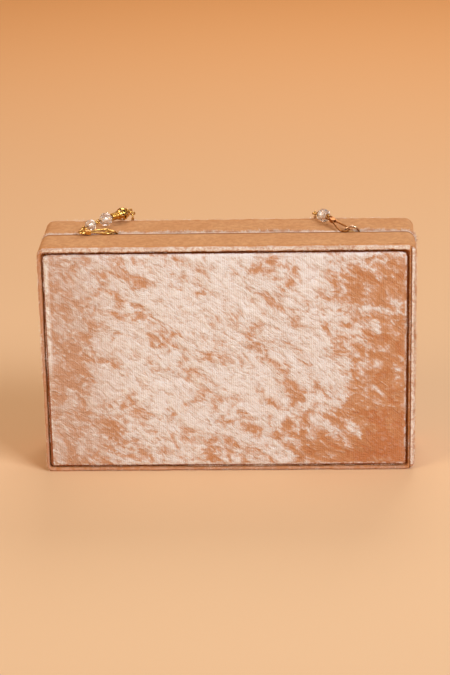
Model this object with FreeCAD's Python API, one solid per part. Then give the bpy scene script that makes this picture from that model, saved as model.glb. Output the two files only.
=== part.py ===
"""Hard box clutch purse in two equal velvet-covered halves, with a beaded handle.

The case stands on its long bottom edge: x runs along the case, +y to the back, +z up.
The origin is under the middle of the case, in the plane of the seam.
Each half is built on the +y side and mirrored for the front. Millimetres throughout.
"""
import FreeCAD, Part
import math
import os

Vector = FreeCAD.Vector

# ---- case -------------------------------------------------------------------------------
case_width = 204.0
case_height = 130.0
case_depth = 52.0
corner_radius = 5.0
seam_gap = 0.4               # between the two mouths when the case is shut
velvet_thickness = 0.8
board_thickness = 2.4
lining_thickness = 0.5
lining_setback = 2.0         # of the lining's edge from the mouth
face_board_thickness = 2.4
mouth_rounding = 0.9

# ---- rim and padded panel of each large face -----------------------------------------------
rim_depth = 3.0
rim_width_left = 2.6
rim_width_right = 4.2
rim_width_top = 3.1
rim_width_bottom = 2.6
rim_rounding = 1.1
groove_width = 0.9
panel_corner_radius = 2.4
card_thickness = 1.0
panel_velvet_thickness = 0.8
panel_setback = 0.1          # of the panel's top from the rim's top
panel_rounding = 1.0

# ---- magnets in the top of the mouth -------------------------------------------------------
magnet_length = 20.0
magnet_width = 5.0
magnet_thickness = 1.3
magnet_spacing = 60.0
pocket_clearance = 0.05

# ---- butt hinges in the bottom seam ---------------------------------------------------------
opening_angle = 60.0
opening_spare_angle = 2.0
hinge_setback = 42.0         # of each hinge's middle from its end of the case
hinge_length = 25.0
hinge_pin_diameter = 1.6
hinge_barrel_diameter = 3.8
hinge_barrel_lift = 0.25     # of the barrel from the ground
hinge_running_clearance = 0.05
hinge_end_play = 0.3
hinge_plate_thickness = 0.8
hinge_plate_width = 8.5
hinge_plate_clearance = 0.3  # between a leaf's plate and the other leaf's knuckles
hinge_notch_clearance = 0.4
hinge_rivet_spacing = 15.0
rivet_shank_diameter = 1.8
rivet_head_diameter = 3.4
rivet_head_height = 0.7

# ---- rings in the top seam --------------------------------------------------------------
left_ring_x = -64.1
right_ring_x = 67.75
left_ring_lean = 128.8       # from lying back, in degrees
right_ring_lean = 106.5
ring_wire_diameter = 1.1
ring_outer_diameter = 9.2
ring_bar_setback = 1.1       # of the bar behind the seam plane
ring_bar_depth = 1.2         # of the bar below the top of the case
ring_running_clearance = 0.05
ring_notch_clearance = 0.6
ring_notch_depth = 3.2
ring_front_notch_depth = 1.0
tab_width = 4.0
tab_thickness = 0.5
tab_foot_length = 9.5
tab_rivet_setback = 6.5      # of the rivet from the ring's bar

# ---- pear-shaped clasps -----------------------------------------------------------------
clasp_wire_diameter = 1.0
clasp_length = 13.5          # from the middle of the bow to the middle of the eye
clasp_bow_radius = 3.0
clasp_eye_radius = 1.75
clasp_fork_length = 3.2
clasp_fork_width = 2.9
clasp_fork_thickness = 2.0
clasp_pivot_share = 0.62     # of the fork's length, from its eye end to the gate's pin
clasp_fork_rounding = 0.65
clasp_slot_width = 0.9
gate_tongue_thickness = 0.7
gate_pin_diameter = 0.6
gate_running_clearance = 0.05
gate_nose_gap = 0.15
gate_eye_wall = 0.45         # round the gate's pin
gate_rod_setback = 2.33      # of the rod's start from the gate's pin
gate_blade_overlap = 1.0     # of the flat tongue with the rod
arm_offset = 0.85            # of each arm from the clasp's middle line at the fork
left_bow = Vector(-66.14, 0.52, 1.08)     # above the top of the case
left_eye_way = Vector(-0.944, -0.32, 0.08)
left_across = Vector(-0.311, 0.944, 0.114)
right_bow = Vector(63.36, 0.59, 1.33)
right_eye_way = Vector(-0.568, 0.797, 0.224)
right_across = Vector(0.819, 0.571, 0.046)

# ---- beads and wires on the top of the case ------------------------------------------------
pin_wire_diameter = 0.7
pin_eye_radius = 1.1
pin_neck = 0.6               # of bare wire between an eye and the nearest bead
jump_ring_radius = 2.0
jump_ring_wire_diameter = 0.8
jump_ring_way = Vector(0.34, 0.94, 0)
jump_ring_reach = 1.5        # of its middle past the middle of the clasp's eye
jump_ring_lift = 0.6
small_pin_reach = 1.98       # of the first eye past the middle of the jump ring
small_pin_lift = 0.75
small_pin_way = Vector(0.5, 0.86, 0.04)
long_pin_way = Vector(0.68, 0.73, 0.02)
link_clearance = 0.12        # between two eyes hooked through each other
edge_link_clearance = 0.2    # the same, where the link turns down over the back edge
bead_gap = 0.2
bead_bore_clearance = 0.08
small_crystal_diameter = 6.4
crystal_diameter = 7.6
crystal_sides = 9
crystal_rows = [(-62, 0), (-22, 1), (22, 0), (62, 1)]   # latitude and half step of each row
collar_length = 4.6
collar_diameter = 4.2
collar_turns = 4
filigree_diameter = 7.0
filigree_wall = 0.6
filigree_hole_diameter = 1.2
filigree_holes_round = 7
filigree_rows = [(-34, 0.5), (0, 0), (34, 0.5)]         # latitude and step of each row
filigree_lip_radius = 1.47
filigree_lip_length = 0.91
filigree_lip_setback = 0.05
spool_length = 2.5
spool_diameter = 3.0
spool_neck_diameter = 1.8
spool_flange = 0.75

# ---- hanging loop of the handle -------------------------------------------------------------
handle_axis_setback = 30.3   # behind the seam plane
handle_axis_lift = 1.6       # above the top of the case
handle_left_x = -54.0
handle_right_x = 48.0
handle_wire_diameter = 0.8
handle_bore_diameter = 1.3
link_wire_diameter = 0.8
link_eye_radius = 1.3
end_eye_radius = 1.5
crimp_length = 2.5
crimp_diameter = 1.8
gold_bead_diameter = 6.6
gold_bead_angles = (28, 50, 75, 105, 130, 152)          # where its flats meet, along its axis
disc_length = 2.2
disc_diameter = 3.6
disc_end_diameter = 2.16
disc_edge_start = 0.77
handle_bead_gap = 0.3

# Route of the handle's wire: x along the case and z from the top of the case.
handle_route = [
    (-54.0, -1.4),
    (-53.2, -25.5),
    (-47.6, -50.5),
    (-34.8, -71.5),
    (-14.5, -84.5),
    (9.5, -85.0),
    (29.6, -73.5),
    (42.2, -52.3),
    (47.3, -27.0),
    (48.0, -1.4),
]

# ---- places worked out from the sizes above ---------------------------------------------------
mouth = seam_gap / 2
face = case_depth / 2
wall_end = face - rim_depth
board_inset = velvet_thickness
cavity_inset = velvet_thickness + board_thickness
hinge_z = hinge_barrel_diameter / 2 + hinge_barrel_lift
hinge_spacing = case_width - 2 * hinge_setback
ring_y = ring_bar_setback
ring_z = case_height - ring_bar_depth
ring_radius = (ring_outer_diameter - ring_wire_diameter) / 2
handle_y = handle_axis_setback
handle_z = case_height + handle_axis_lift
X_AXIS = Vector(1, 0, 0)
Y_AXIS = Vector(0, 1, 0)
Z_AXIS = Vector(0, 0, 1)


# ---- general helpers ------------------------------------------------------------------------
def unit(vector):
    """The same direction with a length of one."""
    return Vector(vector) / vector.Length


def box(low, high):
    """A block between two opposite corners."""
    size = high - low
    return Part.makeBox(size.x, size.y, size.z, low)


def cylinder(radius, start, end):
    """A round rod from one point to another."""
    way = end - start
    return Part.makeCylinder(radius, way.Length, start, way)


def torus(centre, normal, radius, wire_diameter):
    """A closed wire ring."""
    return Part.makeTorus(radius, wire_diameter / 2, centre, normal)


def placed(shape, origin, along, across):
    """A shape drawn on its own axes, moved so that its x runs along and its y near across."""
    x_way = unit(along)
    z_way = unit(x_way.cross(across))
    y_way = z_way.cross(x_way)
    matrix = FreeCAD.Matrix(
        x_way.x, y_way.x, z_way.x, origin.x,
        x_way.y, y_way.y, z_way.y, origin.y,
        x_way.z, y_way.z, z_way.z, origin.z,
        0, 0, 0, 1,
    )
    moved = shape.copy()
    moved.Placement = FreeCAD.Placement(matrix)
    return moved


def fused(shapes):
    """One solid from several that touch."""
    return shapes[0].multiFuse(shapes[1:]).removeSplitter()


def revolved(profile):
    """A solid of revolution about x, from a list of (x, radius) corners."""
    corners = [Vector(x, radius, 0) for x, radius in profile]
    outline = Part.makePolygon(corners + corners[:1])
    return Part.Face(outline).revolve(Vector(0, 0, 0), X_AXIS, 360)


def rounded_outline(left, right, bottom, top, radius, y):
    """A rectangle with round corners, drawn in the plane at y."""
    corners = [
        (right - radius, top - radius, 0),
        (left + radius, top - radius, 90),
        (left + radius, bottom + radius, 180),
        (right - radius, bottom + radius, 270),
    ]
    arcs = []
    for x, z, start in corners:
        points = []
        for degrees in (start, start + 45, start + 90):
            turn = math.radians(degrees)
            points.append(Vector(x + radius * math.cos(turn), y, z + radius * math.sin(turn)))
        arcs.append(points)
    edges = []
    for this_arc, next_arc in zip(arcs, arcs[1:] + arcs[:1]):
        edges.append(Part.Arc(*this_arc).toShape())
        edges.append(Part.LineSegment(this_arc[2], next_arc[0]).toShape())
    return Part.Wire(edges)


def rounded_block(left, right, bottom, top, radius, start, end):
    """A block with round corners, from y = start to y = end."""
    outline = Part.Face(rounded_outline(left, right, bottom, top, radius, start))
    return outline.extrude(Vector(0, end - start, 0))


def case_block(inset, start, end):
    """The case's outline, drawn in by an inset, from y = start to y = end."""
    half = case_width / 2
    radius = max(corner_radius - inset, corner_radius / 4)
    return rounded_block(
        inset - half, half - inset, inset, case_height - inset, radius, start, end
    )


def edges_on_plane(shape, y, outline):
    """The edges in the plane at y that lie on the given outline."""
    chosen = []
    for edge in shape.Edges:
        middle = edge.valueAt((edge.FirstParameter + edge.LastParameter) / 2)
        ends = [vertex.Point for vertex in edge.Vertexes]
        if any(abs(point.y - y) > 1e-4 for point in ends + [middle]):
            continue
        if outline.distToShape(Part.Vertex(middle))[0] < 1e-3:
            chosen.append(edge)
    return chosen


def mirrored(shape):
    """The same piece on the front half."""
    return shape.mirror(Vector(0, 0, 0), Y_AXIS)


# ---- case ------------------------------------------------------------------------------------
def opening_relief(inset):
    """The wedge cut from the bottom of a mouth so that the case can open.

    It is drawn in by an inset, for the board that lies under the velvet.
    """
    half_angle = math.radians(opening_angle / 2 + opening_spare_angle)
    slant = math.tan(half_angle)
    drop = hinge_z + velvet_thickness
    shift = inset / math.cos(half_angle)
    profile = Part.makePolygon([
        Vector(-case_width, -mouth, hinge_z),
        Vector(-case_width, mouth + shift, hinge_z),
        Vector(-case_width, mouth + shift + drop * slant, hinge_z - drop),
        Vector(-case_width, -mouth, hinge_z - drop),
        Vector(-case_width, -mouth, hinge_z),
    ])
    return Part.Face(profile).extrude(Vector(2 * case_width, 0, 0))


def hinge_centres():
    """The middle of each hinge along the case."""
    return (-hinge_spacing / 2, hinge_spacing / 2)


def hinge_notches():
    """The room in the bottom of a half for the barrels of the hinges."""
    reach = hinge_barrel_diameter / 2 + hinge_notch_clearance
    half = hinge_length / 2 + hinge_notch_clearance
    top = cavity_inset + hinge_plate_thickness
    return [
        box(Vector(x - half, -reach, -1), Vector(x + half, reach, top))
        for x in hinge_centres()
    ]


def ring_notches(depth):
    """The room in the top of a mouth for the rings."""
    half = ring_outer_diameter / 2 + ring_notch_clearance
    bottom = case_height - cavity_inset - lining_thickness - tab_thickness
    return [
        box(Vector(x - half, -1, bottom), Vector(x + half, depth, case_height + 1))
        for x in (left_ring_x, right_ring_x)
    ]


def magnet_bars(clearance):
    """The two bar magnets in the edge of the top wall."""
    bars = []
    middle_z = case_height - velvet_thickness - board_thickness / 2
    start = mouth + velvet_thickness
    for x in (-magnet_spacing / 2, magnet_spacing / 2):
        half_length = magnet_length / 2 + clearance
        half_thickness = magnet_thickness / 2 + clearance
        low = Vector(x - half_length, start, middle_z - half_thickness)
        high = Vector(x + half_length, start + magnet_width, middle_z + half_thickness)
        bars.append(box(low, high))
    return bars


def hinge_plate_room(clearance):
    """The space above the bottom wall that the leaves of the hinges take."""
    rooms = []
    for x in hinge_centres():
        half = hinge_length / 2 + clearance
        top = cavity_inset + hinge_plate_thickness + rivet_head_height
        end = hinge_plate_start() + hinge_plate_width + clearance
        rooms.append(box(Vector(x - half, -1, hinge_z), Vector(x + half, end, top)))
    return rooms


def tab_foot_room(clearance):
    """The space under the top wall that the ring tabs take."""
    rooms = []
    top = case_height - cavity_inset
    drop = tab_thickness + rivet_head_height
    for x in (left_ring_x, right_ring_x):
        half = tab_width / 2 + clearance
        low = Vector(x - half, -1, top - drop)
        high = Vector(x + half, ring_y + tab_foot_length + clearance, top)
        rooms.append(box(low, high))
    return rooms


def wall_frame(notch_depth):
    """The board wall of a half, with pockets for the magnets."""
    start = mouth + velvet_thickness
    frame = case_block(board_inset, start, wall_end).cut(case_block(cavity_inset, start, wall_end))
    cuts = [opening_relief(velvet_thickness)] + hinge_notches() + ring_notches(notch_depth)
    cuts += magnet_bars(pocket_clearance)
    cuts += [rivet_hole(x, y) for x, y in hinge_rivet_places()]
    return frame.cut(Part.makeCompound(cuts))


def side_velvet(notch_depth):
    """The velvet strip round the sides, turned over the mouth of the board."""
    start = mouth
    strip = case_block(0, start, wall_end)
    outline = rounded_outline(
        -case_width / 2, case_width / 2, 0, case_height, corner_radius, start
    )
    strip = strip.makeFillet(mouth_rounding, edges_on_plane(strip, start, outline))
    strip = strip.cut(opening_relief(0))
    board_start = mouth + velvet_thickness
    board = case_block(board_inset, board_start, wall_end)
    board = board.cut(opening_relief(velvet_thickness))
    cavity = case_block(cavity_inset, start, wall_end)
    cuts = [board, cavity] + hinge_notches() + ring_notches(notch_depth)
    return strip.cut(Part.makeCompound(cuts[:1])).cut(Part.makeCompound(cuts[1:]))


def face_board():
    """The stiff board of a large face, set into the wall frame."""
    return case_block(cavity_inset, wall_end - face_board_thickness, wall_end)


def lining(tabs):
    """The satin tray inside a half."""
    floor = wall_end - face_board_thickness
    start = mouth + lining_setback
    tray = case_block(cavity_inset, start, floor)
    inner = case_block(cavity_inset + lining_thickness, start, floor - lining_thickness)
    cuts = hinge_plate_room(hinge_plate_clearance)
    if tabs:
        cuts += tab_foot_room(hinge_plate_clearance)
    return tray.cut(inner).cut(Part.makeCompound(cuts))


def rim_opening():
    """The left, right, bottom and top of the space inside the rim."""
    half = case_width / 2
    return (
        rim_width_left - half,
        half - rim_width_right,
        rim_width_bottom,
        case_height - rim_width_top,
    )


def panel_outline(inset):
    """The left, right, bottom and top of the padded panel, drawn in by an inset."""
    left, right, bottom, top = rim_opening()
    margin = groove_width + inset
    return left + margin, right - margin, bottom + margin, top - margin


def rim_piping():
    """The raised rim round the panel."""
    rim = case_block(0, wall_end, face)
    outer = rounded_outline(-case_width / 2, case_width / 2, 0, case_height, corner_radius, face)
    rim = rim.makeFillet(rim_rounding, edges_on_plane(rim, face, outer))
    opening = rim_opening()
    rim = rim.cut(rounded_block(*opening, panel_corner_radius, wall_end, face))
    inner = rounded_outline(*opening, panel_corner_radius, face)
    return rim.makeFillet(rim_rounding * 0.8, edges_on_plane(rim, face, inner))


def panel_velvet():
    """The velvet over the padded panel, turned down round its edge."""
    top = face - panel_setback
    outline = panel_outline(0)
    skin = rounded_block(*outline, panel_corner_radius, wall_end, top)
    edge = rounded_outline(*outline, panel_corner_radius, top)
    skin = skin.makeFillet(panel_rounding, edges_on_plane(skin, top, edge))
    return skin.cut(panel_filling(wall_end, top - panel_velvet_thickness))


def panel_filling(start, end):
    """What lies inside the panel's velvet, from y = start to y = end."""
    radius = panel_corner_radius - panel_velvet_thickness
    return rounded_block(*panel_outline(panel_velvet_thickness), radius, start, end)


def panel_card():
    """The card that carries the panel."""
    return panel_filling(wall_end, wall_end + card_thickness)


def panel_foam():
    """The sheet of foam between the card and the velvet."""
    return panel_filling(wall_end + card_thickness, face - panel_setback - panel_velvet_thickness)


# ---- hinges ----------------------------------------------------------------------------------
def hinge_plate_start():
    """Where a leaf's plate begins, clear of the other leaf's knuckles."""
    return hinge_barrel_diameter / 2 + hinge_plate_clearance


def hinge_rivet_places():
    """The x and y of each rivet of the back leaves."""
    y = hinge_plate_start() + hinge_plate_width / 2
    places = []
    for x in hinge_centres():
        places.append((x - hinge_rivet_spacing / 2, y))
        places.append((x + hinge_rivet_spacing / 2, y))
    return places


def rivet_hole(x, y):
    """The hole for a rivet's shank through the bottom wall and a leaf."""
    top = cavity_inset + hinge_plate_thickness
    return cylinder(
        rivet_shank_diameter / 2, Vector(x, y, velvet_thickness), Vector(x, y, top)
    )


def rivet(foot, head_seat):
    """A rivet with a low domed head, from its foot to the seat under its head."""
    way = unit(head_seat - foot)
    shank = cylinder(rivet_shank_diameter / 2, foot, head_seat)
    head_radius = rivet_head_diameter / 2
    dome_radius = (head_radius ** 2 + rivet_head_height ** 2) / (2 * rivet_head_height)
    dome = Part.makeSphere(dome_radius, head_seat + way * (rivet_head_height - dome_radius))
    keep = cylinder(head_radius, head_seat, head_seat + way * rivet_head_height)
    return fused([shank, dome.common(keep)])


def hinge_rivets():
    """The rivets that hold the leaves of a half to its bottom wall."""
    top = cavity_inset + hinge_plate_thickness
    return [
        rivet(Vector(x, y, velvet_thickness), Vector(x, y, top))
        for x, y in hinge_rivet_places()
    ]


def knuckle_spans(middle):
    """The start and end of each knuckle of a leaf, from the middle of the hinge."""
    third = hinge_length / 6
    half = hinge_length / 2
    play = hinge_end_play / 2
    if middle:
        return [(play - third, third - play)]
    return [(-half, -third - play), (third + play, half)]


def hinge_leaf(x, middle):
    """A leaf on the +y side: a plate on the bottom wall, with its knuckles."""
    barrel = hinge_barrel_diameter / 2
    start = hinge_plate_start()
    bottom = cavity_inset
    top = cavity_inset + hinge_plate_thickness
    half = hinge_length / 2
    plate = box(Vector(x - half, start, bottom), Vector(x + half, start + hinge_plate_width, top))
    corners = [
        edge for edge in plate.Edges
        if abs(edge.tangentAt(edge.FirstParameter).z) > 0.9 and edge.Vertexes[0].Y > start + 1
    ]
    pieces = [plate.makeFillet(rivet_head_height * 2, corners)]
    for low, high in knuckle_spans(middle):
        axis_start = Vector(x + low, 0, hinge_z)
        axis_end = Vector(x + high, 0, hinge_z)
        pieces.append(cylinder(barrel, axis_start, axis_end))
        pieces.append(box(Vector(x + low, 0, bottom), Vector(x + high, start, top)))
    leaf = fused(pieces)
    clearance = hinge_running_clearance if middle else 0
    bore = cylinder(
        hinge_pin_diameter / 2 + clearance,
        Vector(x - half - 1, 0, hinge_z),
        Vector(x + half + 1, 0, hinge_z),
    )
    holes = [rivet_hole(hole_x, hole_y) for hole_x, hole_y in hinge_rivet_places()]
    return leaf.cut(Part.makeCompound([bore] + holes))


def hinge_pin(x):
    """A hinge's pin, tight in the back leaf and free in the front one."""
    half = hinge_length / 2
    return cylinder(
        hinge_pin_diameter / 2, Vector(x - half, 0, hinge_z), Vector(x + half, 0, hinge_z)
    )


# ---- rings and their tabs --------------------------------------------------------------------
def half_ring(x, lean):
    """A half-round ring with a straight bar, leaning by an angle from lying back."""
    turn = math.radians(lean)
    up = Vector(0, math.cos(turn), math.sin(turn))
    centre = Vector(x, ring_y, ring_z)
    wire = ring_wire_diameter / 2
    whole = torus(centre, X_AXIS.cross(up), ring_radius, ring_wire_diameter)
    size = ring_outer_diameter
    keep = Part.makeBox(2 * size, size, 2 * size, Vector(-size, 0, -size))
    keep = placed(keep, centre, X_AXIS, up)
    ends = [centre - X_AXIS * ring_radius, centre + X_AXIS * ring_radius]
    pieces = [whole.common(keep), cylinder(wire, *ends)]
    pieces += [Part.makeSphere(wire, end) for end in ends]
    return fused(pieces)


def ring_tab(x):
    """A brass strap round a ring's bar, folded back under the top wall."""
    half = tab_width / 2
    hole = ring_wire_diameter / 2 + ring_running_clearance
    outer = hole + tab_thickness
    barrel = cylinder(outer, Vector(x - half, ring_y, ring_z), Vector(x + half, ring_y, ring_z))
    foot_top = case_height - cavity_inset
    foot_bottom = foot_top - tab_thickness
    back = ring_y + outer
    stem = box(
        Vector(x - half, back - tab_thickness, foot_bottom), Vector(x + half, back, ring_z)
    )
    foot = box(
        Vector(x - half, back - tab_thickness, foot_bottom),
        Vector(x + half, ring_y + tab_foot_length, foot_top),
    )
    bore = cylinder(hole, Vector(x - half - 1, ring_y, ring_z), Vector(x + half + 1, ring_y, ring_z))
    tab = fused([barrel, stem, foot]).cut(bore)
    return tab.cut(tab_rivet_hole(x))


def tab_rivet_hole(x):
    """The hole for the rivet of a ring's tab."""
    y = ring_y + tab_rivet_setback
    foot_bottom = case_height - cavity_inset - tab_thickness
    return cylinder(
        rivet_shank_diameter / 2,
        Vector(x, y, foot_bottom),
        Vector(x, y, case_height - velvet_thickness),
    )


def tab_rivet(x):
    """The rivet that holds a ring's tab up to the top wall."""
    y = ring_y + tab_rivet_setback
    foot_bottom = case_height - cavity_inset - tab_thickness
    return rivet(Vector(x, y, case_height - velvet_thickness), Vector(x, y, foot_bottom))


# ---- clasps, drawn with the bow at the origin and the eye along +x --------------------------------
def clasp_fork_end():
    """The end of the fork next to the eye."""
    return clasp_length - clasp_eye_radius


def gate_pivot():
    """The middle of the pin that the gate turns on."""
    return Vector(clasp_fork_end() - clasp_fork_length * clasp_pivot_share, arm_offset, 0)


def bow_tangent_turn():
    """The angle round the bow where a straight arm meets it, from the clasp's long axis."""
    pivot = gate_pivot()
    return math.atan2(pivot.y, pivot.x) + math.acos(clasp_bow_radius / pivot.Length)


def bow_point(turn):
    """A point on the middle line of the bow."""
    return Vector(math.cos(turn), math.sin(turn), 0) * clasp_bow_radius


def clasp_hook():
    """The fixed part of a clasp: eye, fork, one arm and the bow, up to its nose."""
    wire = clasp_wire_diameter / 2
    turn = bow_tangent_turn()
    nose = bow_point(turn)
    tail = bow_point(-turn)
    side = bow_point(math.pi)
    bow_line = Part.Wire([Part.Arc(nose, side, tail).toShape()])
    start_way = unit(Vector(-math.sin(turn), math.cos(turn), 0))
    section = Part.Wire([Part.Circle(nose, start_way, wire).toShape()])
    bow = bow_line.makePipeShell([section], True, False)
    arm_end = Vector(gate_pivot().x, -arm_offset, 0)
    arm = cylinder(wire, tail, arm_end)
    eye = torus(Vector(clasp_length, 0, 0), Z_AXIS, clasp_eye_radius, clasp_wire_diameter)
    pieces = [bow, arm, Part.makeSphere(wire, tail), clasp_fork(), eye]
    return fused(pieces)


def clasp_fork():
    """The block between the eye and the arms, slotted for the gate."""
    end = clasp_fork_end() + clasp_wire_diameter / 4
    start = end - clasp_fork_length
    half_width = clasp_fork_width / 2
    half_thickness = clasp_fork_thickness / 2
    block = box(
        Vector(start, -half_width, -half_thickness), Vector(end, half_width, half_thickness)
    )
    upright = [edge for edge in block.Edges if abs(edge.tangentAt(edge.FirstParameter).z) > 0.9]
    block = block.makeFillet(clasp_fork_rounding, upright)
    pivot = gate_pivot()
    slot_back = pivot.x + gate_eye_radius() + gate_nose_gap
    slot = box(
        Vector(start - 1, pivot.y - gate_eye_radius() - gate_nose_gap, -clasp_slot_width / 2),
        Vector(slot_back, half_width + 1, clasp_slot_width / 2),
    )
    return block.cut(slot).cut(pivot_rod(gate_pin_diameter / 2, clasp_fork_thickness / 2 + 1))


def pivot_rod(radius, reach):
    """A rod through the gate's pivot."""
    pivot = gate_pivot()
    return cylinder(radius, pivot - Z_AXIS * reach, pivot + Z_AXIS * reach)


def gate_eye_radius():
    """The outside radius of the gate's own eye."""
    return gate_pin_diameter / 2 + gate_eye_wall


def clasp_gate():
    """The sprung gate: a flat tongue on the pin, and a rod that meets the bow's nose."""
    wire = clasp_wire_diameter / 2
    pivot = gate_pivot()
    nose = bow_point(bow_tangent_turn())
    way = unit(nose - pivot)
    tip = nose - way * gate_nose_gap
    rod_start = pivot + way * gate_rod_setback
    half = gate_tongue_thickness / 2
    tongue_eye = pivot_rod(gate_eye_radius(), half)
    side = Z_AXIS.cross(way) * (gate_eye_radius() * 0.95)
    rod_seat = rod_start + way * gate_blade_overlap
    outline = [pivot + side, rod_seat + side * 0.6, rod_seat - side * 0.6, pivot - side]
    outline = [point - Z_AXIS * half for point in outline]
    blade = Part.Face(Part.makePolygon(outline + outline[:1])).extrude(Z_AXIS * (2 * half))
    gate = fused([tongue_eye, blade, cylinder(wire, rod_start, tip)])
    bore = pivot_rod(gate_pin_diameter / 2 + gate_running_clearance, clasp_fork_thickness)
    return gate.cut(bore)


def clasp_pin():
    """The cross pin that the gate turns on."""
    return pivot_rod(gate_pin_diameter / 2, clasp_fork_thickness / 2)


def on_top(point):
    """A point given from the top of the case."""
    return Vector(point.x, point.y, case_height + point.z)


def clasp_places():
    """For each clasp: its bow, the way to its eye, and the way across it."""
    return {
        "left": (on_top(left_bow), unit(left_eye_way), left_across),
        "right": (on_top(right_bow), unit(right_eye_way), right_across),
    }


# ---- beads, drawn along +x from the origin --------------------------------------------------------
def bored(bead, length, bore_diameter):
    """A bead with its hole."""
    return bead.cut(cylinder(bore_diameter / 2, Vector(-1, 0, 0), Vector(length + 1, 0, 0)))


def crystal(diameter, bore_diameter):
    """A round bead with rows of flat facets."""
    rings = []
    for latitude, step in crystal_rows:
        tilt = math.radians(latitude)
        x = diameter / 2 * (1 + math.sin(tilt))
        radius = diameter / 2 * math.cos(tilt)
        ring = []
        for index in range(crystal_sides):
            turn = 2 * math.pi * (index + step / 2) / crystal_sides
            ring.append(Vector(x, radius * math.cos(turn), radius * math.sin(turn)))
        rings.append(ring)
    faces = [rings[0], rings[-1]]
    for (ring, (_, step)), next_ring in zip(zip(rings, crystal_rows), rings[1:]):
        for index in range(crystal_sides):
            after = (index + 1) % crystal_sides
            if step:
                faces.append([ring[index], ring[after], next_ring[after]])
                faces.append([ring[index], next_ring[after], next_ring[index]])
            else:
                faces.append([ring[index], ring[after], next_ring[index]])
                faces.append([ring[after], next_ring[after], next_ring[index]])
    shell = Part.makeShell([Part.Face(Part.makePolygon(f + f[:1])) for f in faces])
    body = Part.makeSolid(shell)
    if body.Volume < 0:
        body.reverse()
    return bored(body, diameter, bore_diameter)


def coiled_collar(bore_diameter):
    """A collar of wire wound round the pin, its turns side by side."""
    pitch = collar_length / collar_turns
    root = collar_diameter / 2 - pitch / 2
    turns = []
    for index in range(collar_turns):
        centre = Vector(pitch * (index + 0.5), 0, 0)
        turns.append(Part.makeTorus(root, pitch / 2 * 1.04, centre, X_AXIS))
    core = cylinder(root, Vector(pitch / 4, 0, 0), Vector(collar_length - pitch / 4, 0, 0))
    room = cylinder(collar_diameter, Vector(0, 0, 0), Vector(collar_length, 0, 0))
    return bored(fused([core] + turns).common(room), collar_length, bore_diameter)


def filigree_bead(bore_diameter):
    """A hollow gold bead pierced with rows of round holes."""
    radius = filigree_diameter / 2
    middle = Vector(radius, 0, 0)
    shell = Part.makeSphere(radius, middle).cut(Part.makeSphere(radius - filigree_wall, middle))
    setback = X_AXIS * filigree_lip_setback
    length = X_AXIS * filigree_lip_length
    end = X_AXIS * filigree_diameter - setback
    lip = cylinder(filigree_lip_radius, setback, setback + length)
    far_lip = cylinder(filigree_lip_radius, end - length, end)
    drills = []
    for latitude, step in filigree_rows:
        tilt = math.radians(latitude)
        for index in range(filigree_holes_round):
            turn = 2 * math.pi * (index + step) / filigree_holes_round
            flat = Vector(0, math.cos(turn), math.sin(turn))
            way = flat * math.cos(tilt) + X_AXIS * math.sin(tilt)
            inside = middle + way * (radius - 2 * filigree_wall)
            drills.append(cylinder(filigree_hole_diameter / 2, inside, middle + way * radius * 1.2))
    bead = fused([shell, lip, far_lip]).cut(Part.makeCompound(drills))
    return bored(bead, filigree_diameter, bore_diameter)


def spool(bore_diameter):
    """A small gold spacer with two flanges and a neck."""
    radius = spool_diameter / 2
    neck = spool_neck_diameter / 2
    flange = spool_flange
    profile = [
        (0, bore_diameter / 2), (0, radius), (flange, radius), (flange, neck),
        (spool_length - flange, neck), (spool_length - flange, radius),
        (spool_length, radius), (spool_length, bore_diameter / 2),
    ]
    return revolved(profile)


def gold_bead():
    """A plain gold bead of the hanging loop, with flats turned on it."""
    radius = gold_bead_diameter / 2
    profile = [(radius * (1 - math.cos(math.radians(t))), radius * math.sin(math.radians(t)))
               for t in gold_bead_angles]
    bore = handle_bore_diameter / 2
    start = profile[0][0]
    end = profile[-1][0]
    return revolved([(start, bore)] + profile + [(end, bore)])


def disc():
    """A small gold disc between two beads of the hanging loop."""
    radius = disc_diameter / 2
    end_radius = disc_end_diameter / 2
    bore = handle_bore_diameter / 2
    return revolved([
        (0, bore), (0, end_radius), (disc_edge_start, radius),
        (disc_length - disc_edge_start, radius), (disc_length, end_radius), (disc_length, bore),
    ])


# ---- pins and links ------------------------------------------------------------------------------
def eye_pin(length, flat_far_eye):
    """A wire pin with an eye at each end, the eyes' middles a length apart along +x."""
    wire = pin_wire_diameter
    near = torus(Vector(0, 0, 0), Z_AXIS, pin_eye_radius, wire)
    far = torus(
        Vector(length, 0, 0), Z_AXIS if flat_far_eye else Y_AXIS, pin_eye_radius, wire
    )
    rod = cylinder(
        wire / 2, Vector(pin_eye_radius, 0, 0), Vector(length - pin_eye_radius, 0, 0)
    )
    return fused([near, rod, far])


def pin_bore():
    """The bore of a bead on a pin."""
    return pin_wire_diameter + 2 * bead_bore_clearance


def bead_starts(lengths):
    """How far along its pin each bead begins."""
    start = pin_eye_radius + pin_wire_diameter / 2 + pin_neck
    starts = []
    for length in lengths:
        starts.append(start)
        start += length + bead_gap
    return starts, start - bead_gap + pin_neck + pin_wire_diameter / 2 + pin_eye_radius


def strung(beads, lengths, origin, way):
    """Beads set one after another on a pin, and the length of the pin."""
    starts, pin_length = bead_starts(lengths)
    shapes = [
        placed(bead, origin + way * start, way, Z_AXIS)
        for bead, start in zip(beads, starts)
    ]
    return shapes, pin_length


def hooked_distance(radius, wire_diameter, next_radius, next_wire_diameter, clearance):
    """How far apart the middles of two eyes are when one is hooked through the other."""
    wires = (wire_diameter + next_wire_diameter) / 2
    return radius + next_radius - wires - clearance


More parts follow.
